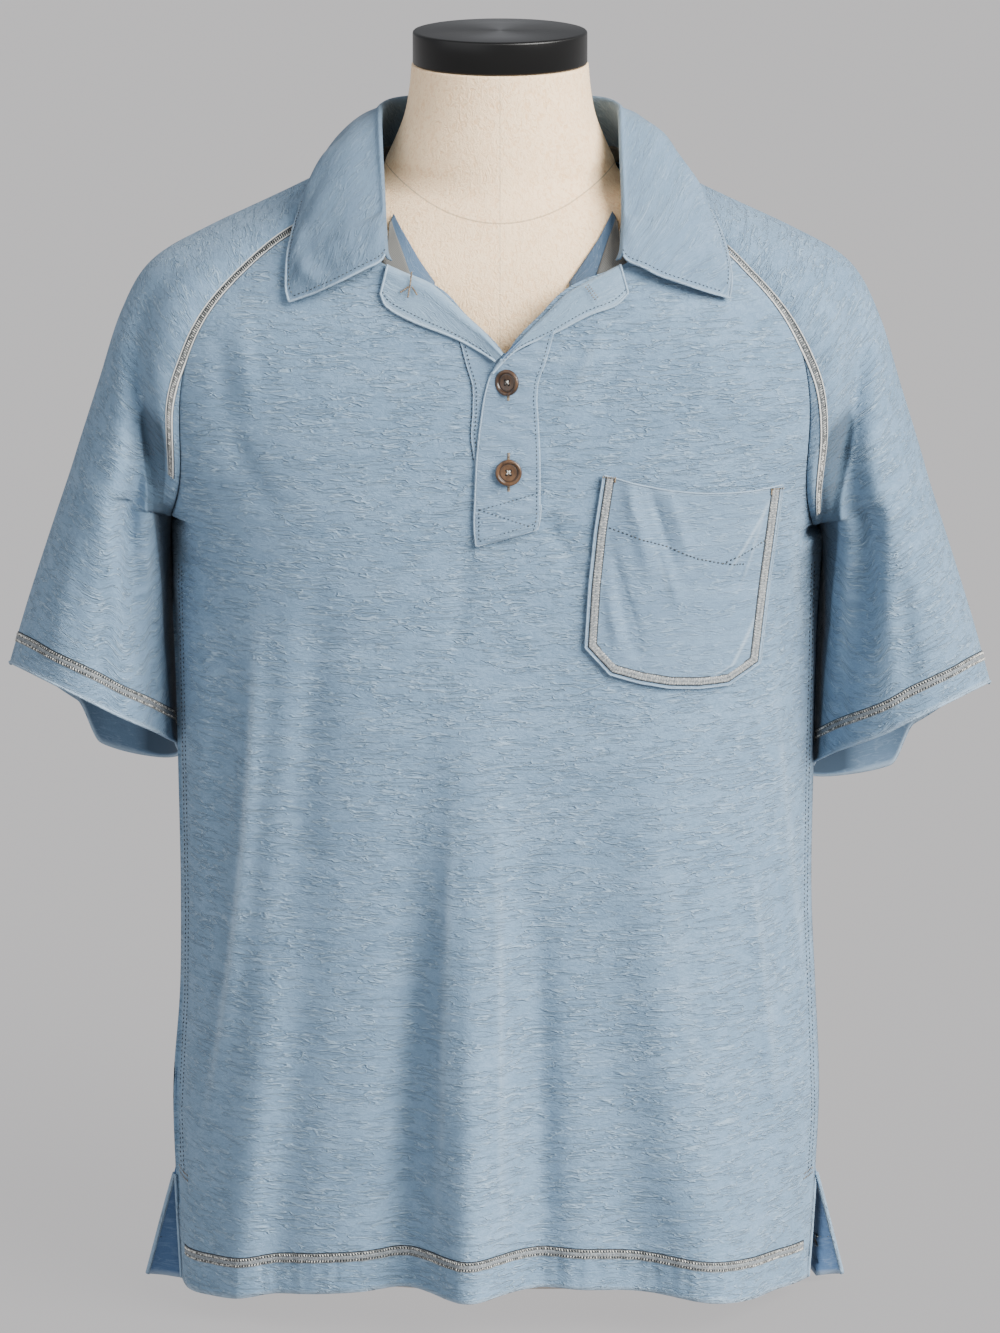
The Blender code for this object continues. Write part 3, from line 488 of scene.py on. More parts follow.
WASHED_LIGHT = (0.212, 0.322, 0.450)
WASHED_DEEP = (0.138, 0.228, 0.335)
face_jersey = jersey("washed_jersey", WASHED_LIGHT, WASHED_DEEP)
trim_jersey = jersey(
    "washed_jersey_trim", (0.200, 0.302, 0.422), (0.135, 0.218, 0.320), slub=0.7
)
# The jersey's back in two copies: this one, for the insides of the body, collar, placket and
# pocket, is darkened as painted shade, because those insides lie in shadow; the sleeves' copy is
# lighter, where the cuffs show it in the light.
shaded_back_jersey = jersey(
    "jersey_back", (0.062, 0.118, 0.225), (0.040, 0.084, 0.170), slub=0.3, inner=True
)
sleeve_back_jersey = jersey(
    "jersey_back_sleeve", (0.125, 0.195, 0.285), (0.080, 0.132, 0.205), slub=0.4, inner=True
)


def crease(x, z, table):
    """Sum of listed folds over a panel's two coordinates.

    Each row is a start and an end, how far its middle bows to the side, its half-width at the
    start and at the end, and how far it stands out (ridge) or in (trough). Across, it is the
    bell exp(-(s/w)^2); along, it grows and dies away smoothly in its first and last thirds.
    """
    out = np.zeros(np.broadcast(x, z).shape)
    for x0, z0, x1, z1, bow, w0, w1, lift in table:
        length = math.hypot(x1 - x0, z1 - z0)
        ux, uz = (x1 - x0) / length, (z1 - z0) / length
        t = ((x - x0) * ux + (z - z0) * uz) / length
        inside = np.clip(t, 0.0, 1.0)
        s = (x - x0) * -uz + (z - z0) * ux - bow * 4.0 * inside * (1.0 - inside)
        width = w0 + (w1 - w0) * inside
        fade = smooth_step(t / 0.35) * smooth_step((1.0 - t) / 0.35)
        out = out + lift * fade * np.exp(-((s / width) ** 2))
    return out


def lengths(grid, axis):
    """Distance run along a grid's rows or columns from its first point."""
    step = np.linalg.norm(np.diff(grid, axis=axis), axis=-1)
    run = np.cumsum(step, axis=axis)
    return np.concatenate([np.zeros_like(np.take(run, [0], axis=axis)), run], axis=axis)


CLOTH = 0.0012  # wall of the jersey


def add_cloth(name, mesh, materials, nodes, thickness=CLOTH):
    """A cloth piece: a sheet whose wall goes inward, the second material on its inner side."""
    made = add_piece(name, mesh, materials, nodes)
    wall = made.modifiers.new("wall", "SOLIDIFY")
    wall.thickness = thickness
    wall.offset = -1.0
    wall.use_even_offset = False
    wall.material_offset = len(materials) - 1
    return made


# ---- The sleeves ----
# Each raglan sleeve is one piece cut up to the neck, closed under the arm, that hangs off the
# form's shoulder with nothing in it. It is drawn in at the front where it meets the body, and
# its cuff is turned up inside and held by two rows of stitches.
SLEEVE = {
    "axis_x": (0.0880, 0.1300, 0.1665, 0.1932, 0.2085, 0.2210, 0.2420, 0.2508, 0.2590, 0.2660,
               0.2710),
    "axis_z": (0.7380, 0.7270, 0.7014, 0.6704, 0.6320, 0.5900, 0.5550, 0.5430, 0.4900, 0.4450,
               0.4010),
    "ridge_x": (0.0930, 0.1360, 0.1930, 0.2290, 0.2480, 0.2625, 0.2755, 0.2825, 0.2960, 0.3110,
                0.3234),
    "ridge_z": (0.7570, 0.7390, 0.7155, 0.6945, 0.6624, 0.6180, 0.5780, 0.5560, 0.5160, 0.4700,
                0.4280),
    "front": (0.052, 0.052, 0.067, 0.082, 0.086, 0.086, 0.084, 0.083, 0.080, 0.077, 0.074),
    "back": (0.042, 0.054, 0.070, 0.084, 0.090, 0.090, 0.088, 0.086, 0.083, 0.080, 0.077),
    "front_lift": (0.000, 0.000, 0.000, 0.000, 0.000, 0.000, 0.002, 0.004, 0.009, 0.014, 0.019),
    "back_lift": (0.015, 0.007, 0.002, 0.000, 0.000, -0.004, -0.010, -0.016, -0.027, -0.036,
                  -0.043),
    "reach": (90.0, 90.0, 90.0, 90.0, 94.0, 110.0, 146.0, 180.0, 180.0, 180.0, 180.0),
    "crease_at": (-30.0, -30.0, -32.0, -38.0, -46.0, -74.0, -100.0, -108.0, -126.0, -138.0, -148.0),
    "crease_in": (0.000, 0.000, 0.002, 0.008, 0.014, 0.018, 0.020, 0.018, 0.012, 0.008, 0.005),
}
SECTIONS = np.arange(11.0)
UNDERARM_ROW = 7
SEAM_GAP = 0.0006

# Soft folds of a sleeve: section and angle (hundredths of a degree from the ridge) at both
# ends, bow, half-widths and how far they stand out.
SLEEVE_FOLDS = {
    -1: (
        # along0, turn0, along1, turn1, bow, w0, w1, out
        (7.2, -0.55, 10.2, -0.70, 0.03, 0.10, 0.14, 0.0030),
        (7.5, -0.95, 10.2, -1.05, 0.00, 0.09, 0.12, -0.0035),
        (3.0, 0.45, 9.0, 0.60, 0.05, 0.14, 0.18, 0.0030),
        (4.0, 0.95, 9.5, 1.10, -0.04, 0.12, 0.16, -0.0035),
    ),
    1: (
        (6.8, -0.50, 10.2, -0.62, 0.03, 0.09, 0.12, 0.0032),
        (7.4, -0.84, 10.2, -0.95, 0.00, 0.10, 0.12, -0.0038),
        (3.4, 0.40, 9.2, 0.55, -0.05, 0.15, 0.17, 0.0030),
        (4.2, 0.90, 9.5, 1.15, 0.04, 0.12, 0.16, -0.0035),
    ),
}


# The angle at which the deep fold beside the front armpit begins, by section.
ARMPIT_FOLD = {
    "z": (4.6, 4.9, 5.2, 5.8, 6.6, 7.2, 7.75, 8.6, 10.0),
    "turn": (62.0, 66.0, 76.0, 105.0, 126.0, 137.5, 150.0, 158.0, 165.0),
}


def read(table, column, at):
    """One named column of a table at a height, or at a section number."""
    return through(table["z"], table[column], at)


def sleeve_face(side, along, angle):
    """Point of a sleeve at a section number and an angle from its ridge (front below zero).

    Each section is an arc of an ellipse: the axis point plus (ridge - axis) cos(angle) in the
    upright plane, and its half-depth times sin(angle) forward or back. A bell-shaped dent
    draws in its front, and the listed folds move a point along the same radius. Below the
    armpit the under side is tucked in toward the body, most at its back, and a deep fold runs
    down from the end of the front seam. Near the cuff the outer back hangs higher, by a step
    that grows and ends smoothly.
    """
    get = {name: through(SECTIONS, SLEEVE[name], along) for name in SLEEVE}
    down = max(side, 0) * 0.013 * np.clip((along - 3.0) / 7.0, 0.0, 1.0)
    inward = max(side, 0) * 0.006 * np.clip(np.minimum(along, 8.0 - along) / 2.0, 0.0, 1.0)
    turn = np.radians(angle)
    half = np.where(angle < 0.0, get["front"], get["back"])
    lift = np.where(angle < 0.0, get["front_lift"], get["back_lift"])
    dent = get["crease_in"] * np.exp(-(((angle - get["crease_at"]) / 15.0) ** 2))
    dent = dent - crease(along, angle / 100.0, SLEEVE_FOLDS[side])
    out_x = get["ridge_x"] - get["axis_x"]
    out_z = get["ridge_z"] - get["axis_z"]
    x = get["axis_x"] - inward + (out_x + inward) * np.cos(turn) * (1.0 - 0.5 * dent / half)
    y = half * np.sin(turn) * (1.0 - dent / half)
    z = get["axis_z"] - down + out_z * np.cos(turn) + lift * np.abs(np.sin(turn))
    under = np.abs(angle)
    tuck = 0.0045 + max(side, 0) * 0.0060 * smooth_step((along - 7.0) / 1.5)
    tuck = tuck * smooth_step((under - 105.0) / 50.0)
    tuck = tuck + (0.0075 + 0.0015 * side) * np.where(
        angle > 0.0, smooth_step((angle - 95.0) / 35.0) * smooth_step((180.0 - angle) / 30.0), 0.0)
    x = x - tuck * smooth_step((along - 5.9) / 1.3)
    groove = 0.0070 * smooth_step((under - read(ARMPIT_FOLD, "turn", along)) / 10.0)
    groove = groove * smooth_step((seam_reach(along) - 3.0 - under) / 12.0) * (angle < 0.0)
    y = y + groove * smooth_step((along - 4.6) / 0.7) * (1.0 - smooth_step((along - 7.0) / 0.8))
    behind = smooth_step(angle / 34.0) * (1.0 - smooth_step((angle - (80.0 + 3.0 * side)) / 17.0))
    z = z + 0.021 * behind * smooth_step((along - 7.6) / 2.4)
    return np.stack([side * x, y, z], axis=-1)


def seam_reach(along):
    """Angle from the ridge to the raglan seam; 180 closes the sleeve into a tube."""
    reach = through(SECTIONS, SLEEVE["reach"], along)
    return np.where(along >= UNDERARM_ROW, 180.0, np.minimum(reach, 178.0))


SIDES = ((-1, "right"), (1, "left"))
CAP_ALONG = np.linspace(0.0, 1.0, 97) * UNDERARM_ROW
for side, side_name in SIDES:
    along = np.concatenate([CAP_ALONG, np.linspace(UNDERARM_ROW, 10.0, 81)[1:]])[:, None]
    share = np.linspace(-1.0, 1.0, 181)[None, :]
    angle = seam_reach(along) * share
    grid = sleeve_face(side, along + 0.0 * share, angle)
    around = lengths(grid, 1)
    uv = np.stack([around - around[:, 90:91], lengths(grid, 0)], axis=-1)
    hem = smooth_step(1.0 - (10.0 - along) * 0.05 / 0.0035) + 0.0 * share
    bend = np.abs(angle)
    # Painted shade: below zero, the under side that faces the body and, at the front, the deep fold
    # beside the armpit are darkened; the cuff's edge is rubbed pale.
    deep = smooth_step((bend - 112.0) / 24.0) * smooth_step((along - 5.6) / 1.2)
    fold = smooth_step((bend - read(ARMPIT_FOLD, "turn", along)) / 7.0)
    fold = fold * smooth_step((along - 4.5) / 0.5)
    beside_seam = smooth_step((seam_reach(along) - 12.0 - bend) / 6.0)
    fold = fold * np.maximum(beside_seam, smooth_step((along - 5.6) / 0.5))
    deep = np.where(angle < 0.0, fold, deep)
    worn = 0.7 * hem - 2.0 * deep * (1.0 - hem)
    mesh = grid_mesh(f"sleeve_{side_name}_cloth", [grid], -side, [uv], [worn])
    cloth = add_cloth(mesh.name, mesh, [face_jersey, sleeve_back_jersey], [f"sleeve_{side_name}"])

# ---- The front and the back ----
# Two panels of the same jersey meet the sleeves at the raglan seams and each other at the side
# seams, which are open below as vents. The front is cut open at the neck down to the placket;
# both hang straight from the chest and fall into long folds at the hem.
UNDERARM_Z = 0.530
VENT_TOP_Z = 0.083
SEAM_Y = -0.012
SQUARENESS = 2.7
V_BOTTOM = (0.004, 0.655)
HEM_BAND = 0.140
EDGE_BAND = 0.040
BODY = {
    "z": (0.000, 0.083, 0.140, 0.210, 0.270, 0.360, 0.420, 0.470, 0.530),
    "right_w": (0.2120, 0.2165, 0.2176, 0.2125, 0.2115, 0.2125, 0.2135, 0.2155, 0.2165),
    "left_w": (0.2050, 0.2105, 0.2125, 0.2095, 0.2065, 0.2070, 0.2080, 0.2100, 0.2145),
}
DEPTH = {
    "z": (0.000, 0.100, 0.300, 0.450, 0.560, 0.620, 0.656, 0.690, 0.720, 0.745, 0.760),
    "front": (0.124, 0.126, 0.130, 0.132, 0.131, 0.127, 0.122, 0.115, 0.105, 0.092, 0.080),
    "back": (0.128, 0.128, 0.128, 0.130, 0.132, 0.132, 0.128, 0.116, 0.094, 0.070, 0.058),
}
SECTION = {
    "z": (0.000, 0.083, 0.210, 0.400, 0.470, 0.530, 0.590, 0.630, 0.670, 0.700, 0.720, 0.738,
          0.755),
    "half": (0.212, 0.214, 0.211, 0.211, 0.213, 0.216, 0.214, 0.208, 0.193, 0.166, 0.142,
             0.104, 0.090),
    "front": (0.012, 0.012, 0.010, 0.010, 0.014, 0.034, 0.068, 0.082, 0.080, 0.068, 0.057,
              0.053, 0.050),
    "back": (-0.01, -0.01, -0.01, -0.01, 0.000, 0.030, 0.072, 0.086, 0.084, 0.072, 0.062,
             0.053, 0.042),
    "share": (0.995, 0.995, 0.995, 0.995, 0.990, 0.970, 0.930, 0.900, 0.860, 0.840, 0.830,
              0.820, 0.800),
}
NECK_EDGE = {
    "z": (0.655, 0.663, 0.681, 0.701, 0.714, 0.726, 0.738),
    "right_x": (0.0040, -0.0020, -0.0211, -0.0440, -0.0785, -0.0845, -0.0870),
    "left_x": (0.0040, 0.0080, 0.0250, 0.0490, 0.0842, 0.0870, 0.0870),
}
# Long folds: place and half-width at the hem and at the top, height of the top, how far out.
FRONT_LONG = (
    (-0.021, 0.023, -0.018, 0.030, 0.460, 0.034),
    (-0.064, 0.020, -0.040, 0.022, 0.470, -0.013),
    (0.030, 0.017, 0.012, 0.024, 0.400, -0.008),
    (0.142, 0.030, 0.088, 0.030, 0.450, 0.020),
    (0.088, 0.026, 0.052, 0.026, 0.430, -0.006),
    (-0.175, 0.020, -0.124, 0.018, 0.500, 0.010),
    (-0.150, 0.016, -0.108, 0.014, 0.520, -0.006),
    (0.185, 0.014, 0.150, 0.014, 0.470, -0.007),
)
BACK_LONG = (
    (-0.130, 0.030, -0.095, 0.034, 0.480, 0.018),
    (-0.055, 0.022, -0.050, 0.030, 0.430, -0.008),
    (0.012, 0.030, 0.020, 0.034, 0.500, 0.020),
    (0.080, 0.022, 0.060, 0.030, 0.420, -0.007),
    (0.148, 0.030, 0.110, 0.034, 0.460, 0.016),
)
# Smaller creases: start x, z, end x, z, bow, half-widths, out.
FRONT_CREASES = (
    (-0.157, 0.520, -0.204, 0.090, 0.010, 0.0075, 0.0080, 0.0062),
    (-0.178, 0.500, -0.209, 0.180, 0.004, 0.0110, 0.0090, -0.0062),
    (-0.116, 0.540, -0.160, 0.190, 0.008, 0.0110, 0.0140, -0.0040),
    (-0.046, 0.330, -0.068, 0.020, -0.002, 0.0080, 0.0110, -0.0050),
    (-0.030, 0.400, -0.043, 0.030, 0.000, 0.0050, 0.0060, 0.0022),
    (-0.002, 0.400, 0.003, 0.030, 0.000, 0.0050, 0.0055, 0.0022),
    (0.024, 0.330, 0.030, 0.020, 0.000, 0.0090, 0.0100, -0.0035),
    (0.176, 0.460, 0.203, 0.230, 0.000, 0.0070, 0.0080, 0.0040),
    (0.158, 0.350, 0.186, 0.120, 0.003, 0.0080, 0.0100, 0.0036),
    (0.168, 0.400, 0.190, 0.180, 0.000, 0.0070, 0.0080, -0.0038),
    (0.112, 0.330, 0.128, 0.050, 0.004, 0.0120, 0.0140, -0.0030),
    # below the placket, the pocket and the collar
    (-0.018, 0.545, -0.031, 0.450, 0.000, 0.0055, 0.0080, -0.0022),
    (0.024, 0.560, 0.052, 0.512, 0.000, 0.0045, 0.0060, -0.0018),
    (0.176, 0.525, 0.188, 0.445, 0.000, 0.0060, 0.0080, -0.0034),
    (0.186, 0.530, 0.199, 0.450, 0.000, 0.0060, 0.0080, 0.0028),
    (0.070, 0.685, 0.036, 0.620, 0.003, 0.0050, 0.0065, 0.0022),
    (0.085, 0.675, 0.050, 0.600, 0.003, 0.0060, 0.0080, -0.0022),
    (-0.190, 0.685, -0.176, 0.600, 0.003, 0.0065, 0.0080, -0.0024),
    (-0.172, 0.690, -0.160, 0.610, 0.002, 0.0060, 0.0080, 0.0020),
    (-0.176, 0.610, -0.140, 0.545, -0.004, 0.0070, 0.0090, -0.0024),
    (0.172, 0.690, 0.160, 0.630, -0.002, 0.0060, 0.0080, -0.0022),
    (0.150, 0.690, 0.120, 0.610, -0.002, 0.0070, 0.0090, 0.0016),
    # level waves of the belly, where the cloth hangs slack between the long folds
    (-0.140, 0.470, -0.060, 0.455, 0.004, 0.0090, 0.0090, -0.0012),
    (-0.120, 0.415, -0.030, 0.395, 0.004, 0.0100, 0.0090, 0.0012),
    (0.030, 0.420, 0.120, 0.405, -0.003, 0.0100, 0.0090, -0.0012),
    (-0.150, 0.330, -0.070, 0.310, 0.003, 0.0110, 0.0090, -0.0010),
)
# Lines rubbed pale along the sharp folds, and on the front dark lines of painted shade in the
# troughs beside them, in the same rows.
FRONT_PALE_AND_SHADE = (
    (-0.158, 0.510, -0.205, 0.085, 0.010, 0.0018, 0.0020, 0.36),
    (-0.165, 0.500, -0.209, 0.100, 0.010, 0.0030, 0.0030, -0.11),
    (-0.030, 0.400, -0.043, 0.020, 0.000, 0.0022, 0.0024, 0.20),
    (-0.002, 0.400, 0.003, 0.020, 0.000, 0.0022, 0.0024, 0.21),
    (0.176, 0.460, 0.204, 0.200, 0.000, 0.0020, 0.0022, 0.20),
    (0.158, 0.350, 0.187, 0.100, 0.003, 0.0020, 0.0024, 0.17),
    (0.095, 0.400, 0.146, 0.020, 0.004, 0.0040, 0.0050, 0.09),
    (-0.050, 0.400, -0.068, 0.030, 0.000, 0.0080, 0.0100, -0.20),
    (0.070, 0.690, 0.034, 0.610, 0.003, 0.0016, 0.0020, 0.15),
    (0.176, 0.530, 0.188, 0.440, 0.000, 0.0030, 0.0040, -0.16),
    (0.187, 0.545, 0.200, 0.440, 0.000, 0.0018, 0.0020, 0.17),
)
BACK_WORN = (
    (-0.118, 0.630, -0.166, 0.430, 0.006, 0.0020, 0.0024, 0.15),
    (0.113, 0.640, 0.171, 0.440, -0.006, 0.0020, 0.0024, 0.15),
    (-0.132, 0.400, -0.131, 0.020, 0.000, 0.0030, 0.0040, 0.11),
    (0.018, 0.420, 0.012, 0.020, 0.000, 0.0030, 0.0040, 0.11),
    (0.140, 0.400, 0.149, 0.020, 0.000, 0.0030, 0.0040, 0.11),
)


def raglan_seam(side, front):
    """A body panel's edge along a raglan seam, from the underarm up to the neck.

    It is the sleeve's own edge moved on by the seam's gap, and it never runs down again.
    """
    along = CAP_ALONG[::-1]
    reach = seam_reach(along) * (-1.0 if front else 1.0)
    seam = sleeve_face(side, along, reach)
    away = unit(seam - sleeve_face(side, along, reach * 0.9))
    away[0] = (-side, -1.0 if front else 1.0, -1.0)
    seam = seam + SEAM_GAP * away
    seam[:, 2] = np.maximum.accumulate(seam[:, 2]) + 0.00002 * np.arange(len(seam))
    return seam


SEAMS = {(side, front): raglan_seam(side, front) for side in (-1, 1) for front in (True, False)}


def edge_at(side, front, z):
    """Half-width and y of a body panel's edge at a height: side seam, then raglan seam."""
    seam = SEAMS[side, front]
    low_w = read(BODY, "left_w" if side > 0 else "right_w", z)
    open_vent = np.clip((VENT_TOP_Z - z) / VENT_TOP_Z, 0.0, 1.0)
    seam_y = SEAM_Y * np.clip((UNDERARM_Z - z) / 0.10, 0.0, 1.0)
    low_y = seam_y - SEAM_GAP - 0.012 * open_vent
    if not front:
        low_w = low_w + 0.026 * open_vent
        low_y = seam_y + SEAM_GAP + 0.024 * open_vent
    above = z >= seam[0, 2]
    width = np.where(above, np.interp(z, seam[:, 2], np.abs(seam[:, 0])), low_w)
    depth = np.where(above, np.interp(z, seam[:, 2], seam[:, 1]), low_y)
    return width, depth


def fold_heights(folds, x, z):
    """Sum of long folds exp(-((x - centre)/width)^2) that grow from their tops to the hem."""
    out = np.zeros(np.broadcast(x, z).shape)
    for hem_x, hem_w, top_x, top_w, top_z, height in folds:
        grown = np.clip((top_z - z) / (top_z - 0.020), 0.0, 1.0)
        centre = top_x + (hem_x - top_x) * grown
        width = top_w + (hem_w - top_w) * grown
        out = out + height * grown * np.exp(-(((x - centre) / width) ** 2))
    return out


def section_depth(x, z, front):
    """Rounded square of a level section: centre + (middle - centre)(1 - r^n)^(1/n)."""
    n = SQUARENESS
    name = "front" if front else "back"
    middle, side_out = read(DEPTH, name, z), read(SECTION, name, z)
    share = np.minimum(read(SECTION, "share", z), 0.995)
    fall = (1.0 - share**n) ** (1.0 / n)
    centre = (side_out - middle * fall) / (1.0 - fall)
    ratio = np.clip(np.abs(x) / read(SECTION, "half", z) * share, 0.0, 0.995)
    return centre + (middle - centre) * (1.0 - ratio**n) ** (1.0 / n)


def body_depth(x, z, front):
    """How far a panel stands from y = 0: its level section, bent to its seam, and its folds."""
    sign = -1.0 if front else 1.0
    smooth = section_depth(x, z, front)
    folds = fold_heights(FRONT_LONG if front else BACK_LONG, x, z)
    if front:
        folds = folds + crease(x, z, FRONT_CREASES)
    above_hem = z - (front_hem(x) if front else back_hem(x))
    gathers = np.sin(x * 560.0 + 2.2 * np.sin(x * 47.0)) + 0.6 * np.sin(x * 905.0 + 1.7)
    folds = folds + 0.00055 * gathers * np.exp(-(((above_hem - 0.014) / 0.011) ** 2))
    total = np.zeros(np.broadcast(x, z).shape)
    for side in (-1, 1):
        edge_w, edge_y = edge_at(side, front, z)
        band = EDGE_BAND - 0.026 * np.exp(-(((z - 0.535) / 0.030) ** 2))
        fade = smooth_step((edge_w - np.abs(x)) / band)
        bend = sign * edge_y - section_depth(edge_w, z, front)
        total = np.where(x * side >= 0.0, smooth + (1.0 - fade) * bend + fade * folds, total)
    return total


def front_face(x, z):
    """Point of the front panel's outer face."""
    return np.stack([x + 0.0 * z, -body_depth(x, z, True), z + 0.0 * x], axis=-1)


def back_face(x, z):
    """Point of the back panel's outer face."""
    return np.stack([x + 0.0 * z, body_depth(x, z, False), z + 0.0 * x], axis=-1)


def front_hem(x):
    """The front hem's height: highest in the middle, where the belly holds it off the form."""
    return 0.0340 - 0.0220 * np.clip(np.abs(x) / 0.208, 0.0, 1.0) ** 2.2


def back_hem(x):
    """The back hem's height, a little lower than the front's."""
    return 0.0110 - 0.0060 * np.clip(np.abs(x) / 0.23, 0.0, 1.0) ** 2


def panel_rows(side, front, below, across):
    """x and z of half a panel, a row at a time, from its middle or neck edge to its seam."""
    seam_z = SEAMS[side, front][:, 2]
    middles = SEAMS[-1, front][:, 2]
    if front:
        nearest = np.argmin(np.abs(middles - V_BOTTOM[1]))
        middles = np.where(np.arange(len(middles)) == nearest, V_BOTTOM[1], middles)
    else:
        middles = middles - 0.004 * np.clip((middles - 0.68) / 0.07, 0.0, 1.0)
    down = np.linspace(0.0, 1.0, below + 1)[:-1]
    inner_z = np.concatenate([down * middles[0], middles])[:, None]
    outer_z = np.concatenate([down * seam_z[0], seam_z])[:, None]
    hem = front_hem if front else back_hem
    if front:
        neck = side * read(NECK_EDGE, "left_x" if side > 0 else "right_x", inner_z)
        inner = np.where(inner_z <= V_BOTTOM[1] + 1e-9, V_BOTTOM[0] * side, neck)
    else:
        inner = 0.0 * inner_z
    outer = np.abs(edge_at(side, front, np.maximum(outer_z, hem(0.21)))[0])
    turn = np.linspace(0.0, 1.0, across + 1)[None, :]
    x = side * (inner + (outer - inner) * (0.60 * turn + 0.40 * np.sin(turn * math.pi / 2.0)))
    part = np.clip((np.abs(x) - np.abs(inner)) / np.maximum(outer - np.abs(inner), 1e-6), 0.0, 1.0)
    z = inner_z + (outer_z - inner_z) * part
    return x, z + np.clip(1.0 - z / HEM_BAND, 0.0, 1.0) * hem(x)


def panel_mesh(name, front, below, across):
    """A body panel from its two halves, with its cloth's metres, its wear and its painted shade."""
    grids, uvs, wears = [], [], []
    for side in (-1, 1):
        x, z = panel_rows(side, front, below, across)
        grid = (front_face if front else back_face)(x, z)
        run = side * (lengths(grid, 1) + np.abs(x[:, :1] - x[:1, :1]))
        hem_z = (front_hem if front else back_hem)(x)
        paling_and_shade = 0.7 * smooth_step(1.0 - (z - hem_z) / 0.0030)
        paling_and_shade = paling_and_shade + crease(x, z, FRONT_PALE_AND_SHADE if front else BACK_WORN)
        uv = np.stack([run, z], axis=-1)
        step = -1 if (side < 0) == front else 1
        grids.append(grid[:, ::step])
        uvs.append(uv[:, ::step])
        wears.append(paling_and_shade[:, ::step])
    return grid_mesh(name, grids, 1, uvs, wears)


front_cloth = add_cloth(
    "front_cloth", panel_mesh("front_cloth", True, 140, 84), [face_jersey, shaded_back_jersey], ["front"]
)
back_cloth = add_cloth(
    "back_cloth", panel_mesh("back_cloth", False, 120, 62), [face_jersey, shaded_back_jersey], ["back"]
)

# ---- The seam bands ----
# The raglan seams, the cuffs and the hem are covered with flat bands of grey and ivory thread,
# sewn by several needles at once: two rows of short stitches with crossing threads between, a
# thick ivory edge along the raglan seams, and a dark shadow where the band bites into the cloth.
cord = plain_material("band_thread", (0.26, 0.26, 0.25), 0.8, Specular_IOR_Level=0.25)
tree = cord.node_tree
place = object_place(tree)
cloth = cloth_place(tree)
twist = stretched(tree, cloth, 1400.0, 500.0, 0.0, 2.0, 0.6, 0.4)
spots = stretched(tree, place, 520.0, 520.0, 520.0, 3.0, 0.6)
colour = blended(
    tree, ranged(tree, twist, 0.32, 0.68), (0.050, 0.060, 0.072), (0.205, 0.232, 0.255)
)
colour = blended(tree, ranged(tree, spots, 0.45, 0.70, 0.0, 0.5), colour, (0.310, 0.325, 0.325))
paling_and_shade = pale_and_shade_share(tree)
colour = blended(tree, ranged(tree, paling_and_shade, 0.0, 1.0, smooth=False), colour, (0.640, 0.640, 0.610))
colour = blended(tree, ranged(tree, paling_and_shade, 0.0, -1.0, smooth=False), colour, (0.012, 0.016, 0.020))
coloured(tree, colour)
bumped(tree, twist, 0.0003, 0.5)


def speckled(tree, cells, low, high, dark, light):
    """Wires two colours of thread to the shader, by a noise of so many cells to a metre."""
    place = object_place(tree)
    uneven = stretched(tree, place, cells, cells, cells, 2.0, 0.6)
    coloured(tree, blended(tree, ranged(tree, uneven, low, high), dark, light))
    return place


ivory = plain_material("ivory_thread", (0.66, 0.64, 0.58), 0.75, Specular_IOR_Level=0.3)
tree = ivory.node_tree
place = speckled(tree, 620.0, 0.42, 0.58, (0.140, 0.138, 0.126), (0.760, 0.750, 0.700))
ply = stretched(tree, place, 1800.0, 1800.0, 1800.0, 1.0, 0.5)
bumped(tree, ply, 0.0002, 0.4)

# Across a band from its first edge: place, height above the cloth, and shade (1 ivory, 0 grey,
# -1 dark); the last two points lie under the cloth and close the band.
RAGLAN_PROFILE = (
    (-0.0034, -0.0003, -0.8), (-0.0033, 0.0003, 0.5), (-0.0030, 0.0006, 0.9),
    (-0.0026, 0.0005, 0.5), (-0.0023, 0.0002, -0.9), (-0.0019, 0.0002, -0.7),
    (-0.0010, 0.0003, -0.3), (0.0004, 0.0003, -0.3), (0.0011, 0.0002, -0.7),
    (0.0014, 0.0006, 0.6), (0.0019, 0.0009, 1.0), (0.0024, 0.0008, 0.9),
    (0.0028, 0.0003, -0.7), (0.0034, -0.0003, -1.0), (0.0030, -0.0008, -1.0),
    (-0.0030, -0.0008, -1.0),
)
HEM_PROFILE = (
    (0.0040, -0.0003, -1.0), (0.0037, 0.0004, -1.0), (0.0033, 0.0005, -0.9),
    (0.0030, 0.0004, 0.5), (0.0027, 0.0003, -0.7), (0.0021, 0.0002, -1.0),
    (0.0013, 0.0003, -0.6), (0.0009, 0.0005, 0.15), (0.0000, 0.0005, 0.00),
    (-0.0009, 0.0005, 0.15), (-0.0013, 0.0003, -0.6), (-0.0021, 0.0002, -1.0),
    (-0.0028, 0.0002, -0.4), (-0.0031, 0.0004, 0.3), (-0.0035, -0.0003, -0.2),
    (-0.0031, -0.0008, -1.0), (0.0036, -0.0008, -1.0),
)
# Rows of stitches: first and last place across, slant along, pitch, thickness.
RAGLAN_ROWS = ((-0.0021, 0.0012, 0.0002, 0.00145, 0.00054),)
HEM_ROWS = ((0.0029, 0.0012, 0.0007, 0.0019, 0.00085), (-0.0012, -0.0028, -0.0004, 0.0019, 0.00075))


